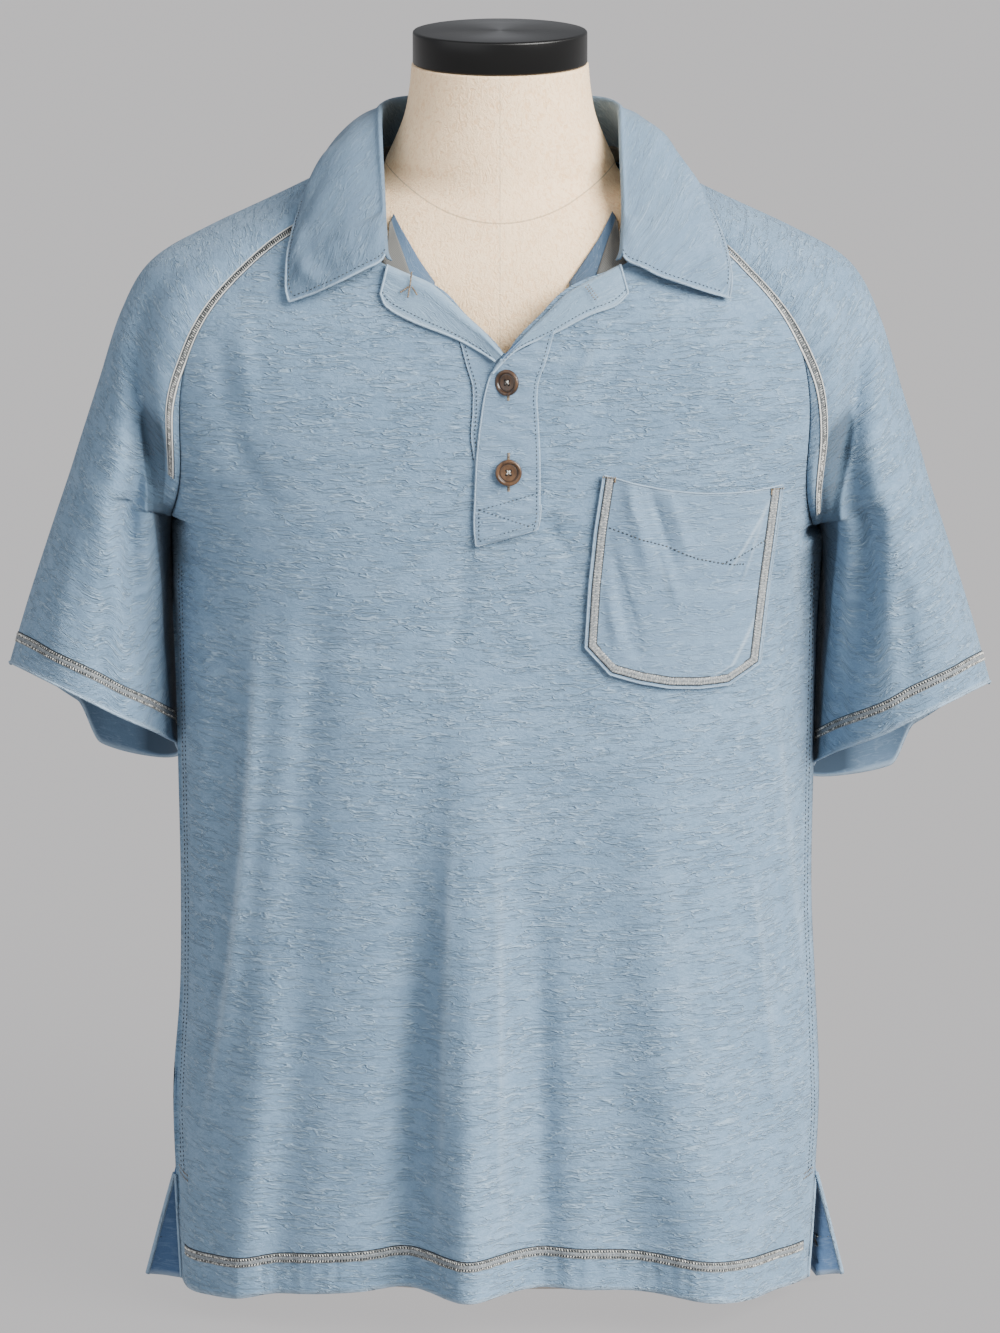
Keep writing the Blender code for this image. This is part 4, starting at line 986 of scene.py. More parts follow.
def stitch_mesh(name, first, last, normal, thick, rise):
    """Stitches from `first` to `last`, an array of each: a slim lozenge tube of 16 faces.

    Its ends are points in the cloth. At 0.2 and 0.8 of its length it has a ring of four points:
    half a thickness to each side, `rise` up along the normal and as much down.
    """
    along = last - first
    beside = unit(np.cross(along, normal))
    ring = [0.5 * thick * beside, rise * normal, -0.5 * thick * beside, -0.5 * rise * normal]
    low = [first + 0.2 * along + r for r in ring]
    high = [first + 0.8 * along + r for r in ring]
    points = np.stack([first] + low + high + [last], axis=1)
    corner = np.arange(4)
    after = (corner + 1) % 4
    faces = np.concatenate([
        np.stack([0 * corner, 1 + after, 1 + corner], axis=-1),
        np.stack([1 + corner, 1 + after, 5 + after], axis=-1),
        np.stack([1 + corner, 5 + after, 5 + corner], axis=-1),
        np.stack([9 + 0 * corner, 5 + corner, 5 + after], axis=-1),
    ])
    every = faces[None] + 10 * np.arange(len(first))[:, None, None]
    mesh = bpy.data.meshes.new(name)
    mesh.from_pydata(points.reshape(-1, 3), [], every.reshape(-1, 3).tolist())
    mesh.shade_smooth()
    return mesh


def outward_normals(grid, inside):
    """Unit normals of a grid of points, the cross product of its two slopes, away from a point."""
    normal = unit(np.cross(np.gradient(grid, axis=0), np.gradient(grid, axis=1)))
    return normal * np.where((normal * (grid - inside)).sum() > 0.0, 1.0, -1.0)


STITCH_LIFT = 0.0003  # ends of a band's stitches above the cloth
STITCH_RISE = 0.00055  # their middles above their ends
BAND_STEP = 0.0020


def seam_band(name, face, first, last, profile, rows, inside):
    """A band along a face: its profile carried along the line where the face's second
    parameter is 0, one section every BAND_STEP of cloth, and its rows of stitches at their
    pitch."""
    fine = np.linspace(first, last, 700)
    run = lengths(face(fine[:, None], np.zeros((1, 1)))[:, 0], 0)
    place = np.interp(np.arange(0.0, run[-1], BAND_STEP), run, fine)
    across, rise, shade = np.array(profile).T
    base = face(place[:, None], across[None, :])
    normal = outward_normals(face(place[:, None], np.linspace(-0.004, 0.004, 5)[None, :]), inside)
    points = base + rise[None, :, None] * normal[:, 2:3]
    uv = np.stack(np.broadcast_arrays(np.interp(place, fine, run)[:, None], across[None]), axis=-1)
    ends = np.concatenate([uv[:1], uv, uv[-1:]])
    tone = np.broadcast_to(shade, (len(place) + 2, len(shade)))
    mesh = welded(grid_mesh(name, [capped(points)], 1, [ends], [tone], closed=True))
    add_piece(name, faced_outward(mesh), [cord], [])
    starts, stops, normals, thicks = [], [], [], []
    for near, far, slant, pitch, thick in rows:
        middle = np.arange(pitch, run[-1] - pitch, pitch)
        ends = [
            face(np.interp(middle + turn * slant, run, fine)[:, None], np.array([[at]]))[:, 0]
            for turn, at in ((-0.5, near), (0.5, far))
        ]
        places = np.interp(middle, run, fine)[:, None]
        around = face(places, np.linspace(near, far, 3)[None, :])
        up = outward_normals(around, inside)[:, 1]
        starts.append(ends[0] + STITCH_LIFT * up)
        stops.append(ends[1] + STITCH_LIFT * up)
        normals.append(up)
        thicks.append(np.full((len(middle), 1), thick))
    mesh = stitch_mesh(
        f"{name}_stitches", *(np.concatenate(rows) for rows in (starts, stops, normals)),
        np.concatenate(thicks), STITCH_RISE,
    )
    add_piece(mesh.name, mesh, [ivory], [])


# How far a front raglan band lies off its seam, toward the sleeve, by height.
BAND_SHIFT = {
    "z": (0.540, 0.590, 0.610, 0.628, 0.645, 0.665, 0.740),
    "right": (0.0080, 0.0080, 0.0073, 0.0046, 0.0018, 0.0000, 0.0000),
    "left": (0.0116, 0.0114, 0.0094, 0.0068, 0.0034, 0.0000, 0.0000),
}


def raglan_face(side, front):
    """A face that crosses a raglan seam: section number along it, and metres across it.

    Below zero it is the sleeve, turned back from the seam by that length of its girth; above
    zero it is the body, that far from the seam at a right angle to it, level and up.
    """
    turn = -1.0 if front else 1.0
    panel = front_face if front else back_face

    def face(along, across):
        reach = seam_reach(along) * turn
        seam = sleeve_face(side, along, reach)
        degree = np.linalg.norm(seam - sleeve_face(side, along, reach - turn), axis=-1)
        if front:
            across = across - read(BAND_SHIFT, "left" if side > 0 else "right", seam[..., 2])
        angle = reach + turn * np.minimum(across, 0.0) / degree
        sleeve = sleeve_face(side, along + 0.0 * across, angle)
        ahead = sleeve_face(side, along + 0.01, seam_reach(along + 0.01) * turn) - seam
        step = np.hypot(ahead[..., 0], ahead[..., 2])
        level, rise = ahead[..., 2] / step, -ahead[..., 0] / step
        level, rise = level * -side * np.sign(level), rise * -side * np.sign(level)
        start = panel(seam[..., 0], seam[..., 2])
        grade = np.linalg.norm(
            panel(seam[..., 0] + 0.001 * level, seam[..., 2] + 0.001 * rise) - start, axis=-1
        ) / 0.001
        out = np.maximum(across, 0.0) / grade
        body = panel(seam[..., 0] + out * level, seam[..., 2] + out * rise)
        return np.where(across[..., None] < 0.0, sleeve, body)

    return face


def cuff_face(side):
    """A sleeve near its cuff: angle in degrees, and metres up from the band's middle."""
    def face(angle, up):
        cuff = sleeve_face(side, 10.0 + 0.0 * angle, angle)
        section = np.linalg.norm(cuff - sleeve_face(side, 9.0 + 0.0 * angle, angle), axis=-1)
        return sleeve_face(side, 10.0 - (CUFF_BAND_UP + up) / section, angle + 0.0 * up)

    return face


def front_hem_face(x, up):
    """The front near its hem: x, and metres up from the band's middle."""
    return front_face(x + 0.0 * up, front_hem(x) + HEM_BAND_UP + up)


def back_hem_face(x, up):
    """The back near its hem: x, and metres up from the band's middle."""
    return back_face(x + 0.0 * up, back_hem(x) + HEM_BAND_UP + up)


CUFF_BAND_UP = 0.0180
HEM_BAND_UP = 0.0245
for side, side_name in SIDES:
    inside = np.array([side * 0.150, 0.0, 0.620])
    seam_band(f"raglan_front_{side_name}", raglan_face(side, True), 1.25 + 0.25 * side,
              5.6 + 0.25 * side, RAGLAN_PROFILE, RAGLAN_ROWS, inside)
    seam_band(f"raglan_back_{side_name}", raglan_face(side, False), 1.0, 6.6, RAGLAN_PROFILE,
              RAGLAN_ROWS, inside)
    seam_band(f"cuff_band_{side_name}", cuff_face(side), -179.9, 179.9, HEM_PROFILE, HEM_ROWS,
              np.array([side * 0.275, 0.0, 0.415]))
seam_band("front_hem_band", front_hem_face, -0.2095, 0.2025, HEM_PROFILE, HEM_ROWS,
          np.array([0.0, 0.0, 0.040]))
seam_band("back_hem_band", back_hem_face, -0.2250, 0.2180, HEM_PROFILE, HEM_ROWS,
          np.array([0.0, 0.0, 0.040]))

# Topstitching shows as a row of small dips in the turned edges, whose rims are rolled and rubbed
# pale; the dips are drawn as short near-black stitches, painted shade. Bar-tacks and buttonholes
# are worked in tan thread.
dip_shadow_thread = plain_material("dark_stitch", (0.030, 0.040, 0.050), 0.85)
dip_shades = (0.020, 0.027, 0.035), (0.110, 0.120, 0.120)
speckled(dip_shadow_thread.node_tree, 420.0, 0.40, 0.72, *dip_shades)
tan_thread = plain_material("tan_thread", (0.200, 0.150, 0.095), 0.8)
tan_shades = (0.130, 0.092, 0.055), (0.300, 0.235, 0.160)
speckled(tan_thread.node_tree, 500.0, 0.35, 0.65, *tan_shades)


def spaced(points, normals, step):
    """A line of points and its normals, read again at even steps of its length."""
    run = lengths(points, 0)
    at = np.arange(0.0, run[-1], step)
    return tuple(
        np.stack([np.interp(at, run, line[:, k]) for k in range(3)], axis=-1)
        for line in (points, normals)
    )


def topstitch(name, lines, pitch=0.0030, stitch=0.0015, thick=0.0007, material=None):
    """Rows of small stitches along lines of points with normals, one every pitch."""
    starts, stops, ups = [], [], []
    for points, normals in lines:
        points, normals = spaced(points, normals, pitch)
        ahead = unit(np.gradient(points, axis=0))
        starts.append(points - 0.5 * stitch * ahead + 0.0001 * normals)
        stops.append(points + 0.5 * stitch * ahead + 0.0001 * normals)
        ups.append(normals)
    mesh = stitch_mesh(
        name, *(np.concatenate(rows) for rows in (starts, stops, ups)), thick, 0.00040
    )
    return add_piece(name, mesh, [material or dip_shadow_thread], [])


def rolled_edge(name, lines, radius, material, shade=0.75, step=0.0012, sides=8):
    """Rolled rims: a round tube along each line of points, its ring square to the line."""
    grids, uvs, wears = [], [], []
    for points, normals in lines:
        points, normals = spaced(points, normals, step)
        ahead = unit(np.gradient(points, axis=0))
        beside = unit(np.cross(ahead, normals))
        up = np.cross(beside, ahead)
        turn = np.linspace(0.0, 2.0 * math.pi, sides + 1)[:-1][None, :, None]
        ring = np.cos(turn) * beside[:, None] + np.sin(turn) * up[:, None]
        ring = capped(points[:, None] + radius * ring)
        grids.append(ring)
        girth = 0.0 * ring[..., 0] + turn[..., 0] * radius
        uvs.append(np.stack([lengths(ring, 0), girth], axis=-1))
        wears.append(np.full(ring.shape[:2], shade))
    mesh = welded(grid_mesh(name, grids, 1, uvs, wears, closed=True))
    return add_piece(name, faced_outward(mesh), [material], [])


def front_line(path, out, step=0.0008):
    """A line on the front through places x, z, moved out, and the front's normals there."""
    path = np.array(path, float)
    run = lengths(path, 0)
    at = np.linspace(0.0, run[-1], max(int(run[-1] / step), 4))
    x, z = np.interp(at, run, path[:, 0]), np.interp(at, run, path[:, 1])
    level = front_face(x + step, z) - front_face(x - step, z)
    rise = front_face(x, z + step) - front_face(x, z - step)
    normal = unit(np.cross(level, rise))
    return front_face(x, z) + np.array([0.0, -1.0, 0.0]) * out, normal


def bar_tacks(name, tacks, material=None):
    """Bar-tacks on the front: x, z, length, angle from level, width, out; each is a row of
    short threads laid close across the tack's length."""
    starts, stops = [], []
    for x, z, long, angle, wide, out in tacks:
        cross = np.linspace(-0.5, 0.5, 7)
        ux, uz = math.cos(math.radians(angle)), math.sin(math.radians(angle))
        for ends, turn in ((starts, -0.5), (stops, 0.5)):
            px = x + cross * long * ux - turn * wide * uz
            pz = z + cross * long * uz + turn * wide * ux
            ends.append(front_face(px, pz) - np.array([0.0, out, 0.0]))
    up = np.broadcast_to([0.0, -1.0, 0.0], (7 * len(tacks), 3))
    mesh = stitch_mesh(name, np.concatenate(starts), np.concatenate(stops), up, 0.0006, 0.0005)
    return add_piece(name, mesh, [material or tan_thread], [])


SIDE_SEAM = {
    -1: ((-0.2100, 0.500), (-0.2085, 0.360), (-0.2075, 0.270), (-0.2085, 0.210), (-0.2135, 0.130),
         (-0.2120, 0.088)),
    1: ((0.2060, 0.500), (0.2035, 0.360), (0.2030, 0.270), (0.2060, 0.210), (0.2090, 0.130),
        (0.2070, 0.088)),
}
for side, side_name in SIDES:
    seam = np.array(SIDE_SEAM[side])
    inner = seam - np.array([side * 0.0022, 0.0])
    topstitch(f"side_stitch_{side_name}", [front_line(seam, 0.0002), front_line(inner, 0.0002)],
              0.0030, 0.0016)
for side, side_name in SIDES:
    angle = np.linspace(-179.5, 179.5, 300)
    rim = sleeve_face(side, 10.0 + 0.0 * angle, angle)
    out = rim - np.array([side * 0.271, 0.0, 0.41])
    rolled_edge(f"cuff_edge_{side_name}", [(rim, out)], 0.0009, face_jersey, 0.45, 0.0024)
# The vents' edges are faced with narrow turned strips; the hem's rows show inside the back.
for side, side_name in SIDES:
    for front, radius in ((True, 0.0011), (False, 0.0017)):
        z = np.linspace(0.0, VENT_TOP_Z, 60)
        width, depth = edge_at(side, front, z)
        low = (front_hem if front else back_hem)(side * width)
        z = low + (VENT_TOP_Z - low) * z / VENT_TOP_Z
        width, depth = edge_at(side, front, z)
        rim = np.stack([side * width, depth, z], axis=-1)
        out = np.broadcast_to([side, 0.0, 0.0], rim.shape)
        name = f"vent_edge_{'front' if front else 'back'}_{side_name}"
        rolled_edge(name, [(rim, out)], radius, face_jersey, 0.25, 0.0024)
    x = side * np.linspace(0.190, 0.2255 - 0.0035 * side, 40)
    inward = np.array([-0.7 * side, -0.7, 0.0])
    rows = [
        (back_face(x, back_hem(x) + up) + 0.0018 * inward, np.broadcast_to(inward, (40, 3)))
        for up in (0.0210, 0.0280)
    ]
    topstitch(f"vent_inside_stitch_{side_name}", rows, 0.0026, 0.0018, 0.0007)
bar_tacks("vent_tacks", [
    (-0.2105, 0.0885, 0.0060, 2.0, 0.0016, 0.0006), (-0.2105, 0.0850, 0.0060, 2.0, 0.0016, 0.0006),
    (0.2050, 0.0885, 0.0060, -2.0, 0.0016, 0.0006), (0.2050, 0.0850, 0.0060, -2.0, 0.0016, 0.0006),
])

# ---- The collar and the neck tape ----
# A self-fabric collar cut in one: it stands up from the neck seam, rolls over and lies on the
# shoulders in two points, with a row of topstitching near its edge. A grey twill tape is sewn
# over its seam inside the neck.
COLLAR_RIGHT = (
    # seam x, y, z, roll x, y, z, edge x, y, z
    (-0.0690, -0.1005, 0.7140, -0.0733, -0.1060, 0.7190, -0.1345, -0.1015, 0.6862),
    (-0.0785, -0.0855, 0.7275, -0.0752, -0.0750, 0.7500, -0.1365, -0.0940, 0.6970),
    (-0.0835, -0.0580, 0.7400, -0.0774, -0.0450, 0.7775, -0.1335, -0.0680, 0.7240),
    (-0.0885, -0.0260, 0.7530, -0.0785, -0.0150, 0.7965, -0.1265, -0.0360, 0.7410),
    (-0.0885, 0.0020, 0.7560, -0.0768, 0.0140, 0.7985, -0.1195, 0.0010, 0.7490),
    (-0.0780, 0.0340, 0.7570, -0.0650, 0.0410, 0.7985, -0.1040, 0.0500, 0.7460),
    (-0.0450, 0.0530, 0.7560, -0.0370, 0.0590, 0.7975, -0.0600, 0.0840, 0.7410),
    (0.0000, 0.0585, 0.7560, 0.0000, 0.0650, 0.7970, 0.0000, 0.0930, 0.7390),
)
COLLAR_LEFT = (
    (0.0740, -0.1000, 0.7140, 0.0784, -0.1060, 0.7190, 0.1470, -0.0980, 0.6885),
    (0.0815, -0.0840, 0.7275, 0.0798, -0.0750, 0.7480, 0.1480, -0.0880, 0.7030),
    (0.0860, -0.0570, 0.7400, 0.0790, -0.0450, 0.7760, 0.1420, -0.0620, 0.7250),
    (0.0890, -0.0260, 0.7530, 0.0785, -0.0150, 0.7965, 0.1320, -0.0330, 0.7390),
    (0.0885, 0.0020, 0.7560, 0.0768, 0.0140, 0.7985, 0.1225, 0.0010, 0.7480),
    (0.0780, 0.0340, 0.7570, 0.0650, 0.0410, 0.7985, 0.1040, 0.0500, 0.7460),
    (0.0450, 0.0530, 0.7560, 0.0370, 0.0590, 0.7975, 0.0600, 0.0840, 0.7410),
    (0.0000, 0.0585, 0.7560, 0.0000, 0.0650, 0.7970, 0.0000, 0.0930, 0.7390),
)
NECK_AXIS = np.array([0.0, -0.010, 0.0])
UP = np.array([0.0, 0.0, 1.0])


def smooth_rows(table, count):
    """A table's rows read again at so many even steps, a smooth curve through each column."""
    table = np.array(table)
    rows = np.arange(len(table))
    at = np.linspace(0.0, len(table) - 1.0, count)
    return np.stack([through(rows, column, at) for column in table.T], axis=-1)


def collar_stations(count):
    """Seam, roll line and edge of the collar at stations from the right end to the left."""
    return smooth_rows(COLLAR_RIGHT + COLLAR_LEFT[-2::-1], count).reshape(-1, 3, 3)


def stand_top(roll, edge):
    """Where the stand meets the roll line, and the level direction away from the neck."""
    out = 0.5 * (roll + edge) - NECK_AXIS
    out[:, 2] = 0.0
    out = unit(out)
    return roll - 0.0022 * out - 0.003 * UP, out


def collar_sections(seam, roll, edge, front_end):
    """Points across the collar at each station: up the stand, over the roll, down the leaf.

    The leaf is a curve of one bend, (1-t)^2 top + 2t(1-t) bulge + t^2 edge. At the front ends
    it drops first and then runs out to the point.
    """
    top, out = stand_top(roll, edge)
    leaf_top = roll + 0.0030 * out - 0.0030 * UP
    end = front_end[:, None]
    bulge = leaf_top + (0.5 - 0.28 * end) * (edge - leaf_top)
    bulge = bulge + 0.014 * out + (0.008 - 0.016 * end) * UP
    stand = [seam + (top - seam) * t for t in (0.0, 0.5, 1.0)]
    leaf = [
        (1 - t) ** 2 * leaf_top + 2 * t * (1 - t) * bulge + t**2 * edge
        for t in (0.0, 0.25, 0.5, 0.75, 1.0)
    ]
    return np.stack(stand + [roll] + leaf, axis=1)


def shoulder_faces():
    """Points and outward normals of the cloth that the collar's leaf lies on."""
    z = np.linspace(0.67, 0.737, 36)[:, None]
    share = np.linspace(-1.0, 1.0, 80)[None, :]
    half = np.minimum(edge_at(1, True, z)[0], 0.20)
    front = front_face(share * half, z + 0.0 * share)
    half = np.minimum(edge_at(1, False, z + 0.013)[0], 0.20)
    back = back_face(-share * half, z + 0.013 + 0.0 * share)
    along = np.linspace(0.0, 3.0, 40)[:, None]
    angle = np.linspace(-90.0, 90.0, 40)[None, :]
    right = sleeve_face(-1, along + 0.0 * angle, angle + 0.0 * along)
    left = sleeve_face(1, along + 0.0 * angle, -angle + 0.0 * along)
    faces = (front, back, right, left)
    normals = [unit(np.cross(np.gradient(f, axis=1), np.gradient(f, axis=0))) for f in faces]
    return (
        np.concatenate([f.reshape(-1, 3) for f in faces]),
        np.concatenate([n.reshape(-1, 3) for n in normals]),
    )


def resting_on(points, faces, clear):
    """The points, moved out along the nearest face's normal until they are clear of it."""
    places, normals = faces
    flat = points.reshape(-1, 3)
    near = np.argmin(
        (flat**2).sum(1)[:, None] - 2.0 * flat @ places.T + (places**2).sum(1)[None], axis=1
    )
    off = ((flat - places[near]) * normals[near]).sum(-1)
    push = np.clip(np.ravel(clear) - off, 0.0, 0.020)
    return (flat + push[:, None] * normals[near]).reshape(points.shape)


COLLAR_KNOTS = np.array([0.0, 0.09, 0.18, 0.235, 0.29, 0.46, 0.64, 0.82, 1.0])


def collar_grid(count, across):
    """The collar's outer face: smooth curves through each station's section, eased off what it
    lies on. `across` are places from 0 at the seam, over the roll at 0.235, to 1 at the edge."""
    stations = collar_stations(count)
    end = np.clip(np.abs(np.linspace(-1.0, 1.0, count)) * 10.0 - 9.0, 0.0, 1.0)
    control = collar_sections(stations[:, 0], stations[:, 1], stations[:, 2], end)
    leaf = control[:, 4:]
    near_neck = np.clip((0.115 - np.abs(leaf[..., 0])) / 0.030, 0.0, 1.0) * (leaf[..., 1] < -0.06)
    control[:, 4:] = resting_on(leaf, shoulder_faces(), 0.0030 + 0.0034 * near_neck)
    slopes = np.gradient(control, COLLAR_KNOTS, axis=1)
    i = np.clip(np.searchsorted(COLLAR_KNOTS, across, side="right") - 1, 0, 7)
    step = (COLLAR_KNOTS[i + 1] - COLLAR_KNOTS[i])[None, :, None]
    t = (across - COLLAR_KNOTS[i])[None, :, None] / step
    grid = cubic(t, step, control[:, i], control[:, i + 1], slopes[:, i], slopes[:, i + 1])
    return grid, stations


collar_across = np.concatenate([
    np.linspace(0.0, 0.17, 9), np.linspace(0.18, 0.30, 15), np.linspace(0.31, 1.0, 48)
])
collar_points, neck_stations = collar_grid(321, collar_across)
leaf_share = np.clip((collar_across - 0.29) / 0.71, 0.0, 1.0)[None, :]
round_collar = np.linspace(0.0, 1.0, 321)[:, None]
slope_round = np.gradient(collar_points, axis=0)
slope_down = np.gradient(collar_points, axis=1)
leaf_out = unit(np.cross(slope_round, slope_down))
collar_run = lengths(collar_points, 0)
from_end = np.minimum(collar_run, collar_run[-1:] - collar_run)
from_edge = lengths(collar_points[:, ::-1], 1)[:, ::-1]
# Pulls of a leaf: distance from its front end and down the leaf at both ends of each.
COLLAR_FOLDS = (
    # along0, down0, along1, down1, bow, w0, w1, out
    (0.000, 0.052, 0.036, 0.064, 0.002, 0.0050, 0.0075, 0.0018),
    (0.000, 0.040, 0.046, 0.044, 0.003, 0.0060, 0.0090, -0.0016),
    (0.000, 0.026, 0.042, 0.020, -0.002, 0.0060, 0.0080, 0.0016),
    (0.018, 0.077, 0.055, 0.058, 0.000, 0.0050, 0.0080, 0.0013),
    (0.046, 0.072, 0.098, 0.030, 0.004, 0.0070, 0.0110, -0.0014),
    (0.074, 0.076, 0.128, 0.028, 0.000, 0.0080, 0.0110, 0.0018),
    (0.110, 0.074, 0.152, 0.020, -0.003, 0.0080, 0.0120, -0.0012),
)
edge_run = collar_run[:, -1:]
pucker = np.sin(edge_run * 2.0 * math.pi / 0.0095 + 2.0 * np.sin(edge_run * 61.0))
pucker = 0.00028 * pucker * np.exp(-(((from_edge - 0.0065) / 0.0045) ** 2))
soft = 0.0010 * np.sin(collar_run * 72.0 + leaf_share * 2.5) * np.sin(math.pi * leaf_share) ** 2
soft = soft + 0.0007 * np.sin(collar_run * 155.0 - leaf_share * 5.0) * leaf_share * (1 - leaf_share)
pulled = crease(from_end, 0.08 * leaf_share + 0.0 * from_end, COLLAR_FOLDS)
pulled = pulled * smooth_step(leaf_share / 0.2)
lifted = np.clip(pucker + soft + pulled + 0.0010, 0.0, None) * smooth_step(leaf_share / 0.2)
collar_points = collar_points + lifted[..., None] * leaf_out
edge_paling_and_shade = 0.85 * smooth_step(1.0 - from_edge / 0.0022) + 0.0 * from_end
edge_paling_and_shade = np.maximum(edge_paling_and_shade, 0.75 * smooth_step(1.0 - from_end / 0.0018) * (leaf_share > 0))
# Painted shade: the wearer's right half of the collar, turned away from the key light, is darkened.
edge_paling_and_shade = edge_paling_and_shade - 0.50 * (1.0 - edge_paling_and_shade) * smooth_step((0.42 - round_collar) / 0.10)
collar_uv = [collar_run * 0.7 + from_edge * 0.7, from_edge * 0.7 - collar_run * 0.7]
collar_uv = np.stack(collar_uv, axis=-1)
collar_mesh = grid_mesh("collar_cloth", [collar_points], -1, [collar_uv], [edge_paling_and_shade])
collar_cloth = add_cloth("collar_cloth", collar_mesh, [trim_jersey, shaded_back_jersey], ["collar"])


def on_collar(i, j):
    """Points and outward normals of the collar at fractional places in its grid of points."""
    i = np.clip(i, 0.0, collar_points.shape[0] - 1.001)
    j = np.clip(j, 0.0, collar_points.shape[1] - 1.001)
    row, column = i.astype(int), j.astype(int)
    u, v = (i - row)[..., None], (j - column)[..., None]
    return tuple(
        (1 - u) * (1 - v) * grid[row, column] + u * (1 - v) * grid[row + 1, column]
        + (1 - u) * v * grid[row, column + 1] + u * v * grid[row + 1, column + 1]
        for grid in (collar_points, leaf_out)
    )


ROLL_COLUMN, EDGE_COLUMN = 17.0, 71.0
down_leaf = np.linspace(ROLL_COLUMN, EDGE_COLUMN, 160)
round_leaf = np.linspace(0.0, 320.0, 900)
edge_i = np.concatenate([0.0 * down_leaf, round_leaf, 320.0 + 0.0 * down_leaf])
edge_j = np.concatenate([down_leaf, EDGE_COLUMN + 0.0 * round_leaf, down_leaf[::-1]])
rolled_edge("collar_edge", [on_collar(edge_i, edge_j)], 0.0008, trim_jersey, 0.40)
COLLAR_STITCH_IN = 0.0034
step_down = np.interp(round_leaf, np.arange(321.0), from_edge[:, -2])
lines = [on_collar(round_leaf[28:-28], EDGE_COLUMN - COLLAR_STITCH_IN / step_down[28:-28])]
near_end = down_leaf[:-10]
for first, last in ((0, 1), (320, 319)):
    step_in = np.linalg.norm(collar_points[first] - collar_points[last], axis=1)
    step_in = np.interp(near_end, np.arange(72.0), step_in)
    lines.append(on_collar(np.abs(first - COLLAR_STITCH_IN / step_in), near_end))
topstitch("collar_topstitch", lines, 0.0029, 0.0016, 0.0007)

TAPE = 0.0008  # wall of the tape and of the hidden strip
twill = plain_material("twill_tape", (0.17, 0.172, 0.165), 0.9, Sheen_Weight=0.1)
tree = twill.node_tree
cloth = cloth_place(tree)
diagonal = wired(
    tree, "ShaderNodeTexWave", {"Vector": cloth, "Scale": 420.0, "Distortion": 0.6},
    wave_type="BANDS", bands_direction="DIAGONAL",
).outputs["Fac"]
coloured(tree, blended(tree, diagonal, (0.070, 0.072, 0.068), (0.140, 0.142, 0.135)))
bumped(tree, diagonal, 0.0003, 0.5)
tape_stations = neck_stations[12:-12]
tape_top, tape_out = stand_top(tape_stations[:, 1], tape_stations[:, 2])
rise = unit(tape_top - tape_stations[:, 0])
tape_foot = tape_stations[:, 0] - 0.0014 * tape_out
tape_points = np.stack([tape_foot + rise * h for h in np.linspace(-0.001, 0.010, 5)], axis=1)
tape_uv = np.stack([lengths(tape_points, 0), lengths(tape_points, 1)], axis=-1)
tape_mesh = grid_mesh("neck_tape_cloth", [tape_points], -1, [tape_uv])
tape_cloth = add_cloth("neck_tape_cloth", tape_mesh, [twill], ["neck_tape"], TAPE)

NECK_FACING = {
    -1: (
        ((-0.0704, -0.0668, 0.7335), (-0.0672, -0.0752, 0.7259), (-0.0640, -0.0834, 0.7186),
         (-0.0580, -0.1005, 0.7040), (-0.0424, -0.1085, 0.6950)),
        ((-0.0683, -0.0625, 0.7376), (-0.0644, -0.0712, 0.7312), (-0.0579, -0.0812, 0.7212),
         (-0.0514, -0.0895, 0.7109), (-0.0423, -0.0962, 0.6984)),
    ),
    1: (
        ((0.0750, -0.0626, 0.7345), (0.0718, -0.0722, 0.7274), (0.0686, -0.0804, 0.7195),
         (0.0630, -0.1000, 0.7050), (0.0444, -0.1090, 0.6925)),
        ((0.0722, -0.0592, 0.7384), (0.0683, -0.0687, 0.7321), (0.0630, -0.0781, 0.7233),
         (0.0539, -0.0890, 0.7108), (0.0449, -0.0958, 0.6983)),
    ),
}
TAPE_END = {
    -1: (
        ((-0.0714, -0.0690, 0.7330), (-0.0722, -0.0790, 0.7230), (-0.0752, -0.0900, 0.7155),
         (-0.0785, -0.1000, 0.7060)),
        ((-0.0702, -0.0672, 0.7335), (-0.0669, -0.0757, 0.7259), (-0.0636, -0.0840, 0.7186),
         (-0.0568, -0.1020, 0.7030)),
    ),
    1: (
        ((0.0760, -0.0660, 0.7330), (0.0768, -0.0760, 0.7230), (0.0798, -0.0880, 0.7155),
         (0.0832, -0.0990, 0.7060)),
        ((0.0748, -0.0630, 0.7345), (0.0715, -0.0727, 0.7274), (0.0682, -0.0810, 0.7195),
         (0.0618, -0.1015, 0.7040)),
    ),
}


def ruled(curves, rows, columns):
    """A grid of straight rules between two smooth curves through the given points."""
    near, far = (smooth_rows(curve, rows)[:, None] for curve in curves)
    share = np.linspace(0.0, 1.0, columns)[None, :, None]
    return near * (1.0 - share) + far * share


# The inside of the front's neckline behind the collar's ends: the jersey's back, darkened as
# painted shade, because it lies in shadow.
neck_facing_shaded = jersey(
    "jersey_back_neck", (0.095, 0.155, 0.240), (0.060, 0.105, 0.175), slub=0.4
)
for side, side_name in SIDES:
    for name, table, material, slot, lift, wide in (
        ("neck_facing", NECK_FACING, neck_facing_shaded, "washed_jersey", 0.0, 0.020),
        ("neck_tape_end", TAPE_END, twill, "twill_tape", 0.0010, 0.010),
    ):
        grid = ruled(table[side], 24, 10) + np.array([0.0, -lift, 0.4 * lift])
        uv = np.stack([lengths(grid, 0), lengths(grid, 1)], axis=-1)
        mesh = grid_mesh(f"{name}_{side_name}", [grid], -side, [uv])
        piece = add_cloth(mesh.name, mesh, [material], [], TAPE)
        if name == "neck_tape_end":
            foot = grid[-6, :] + np.array([0.0, -0.0004, 0.0])
            up = np.broadcast_to([0.0, -1.0, 0.2], foot.shape)
            topstitch(f"tape_stitch_{side_name}", [(foot, up)], 0.0014, 0.0011, 0.0006, tan_thread)

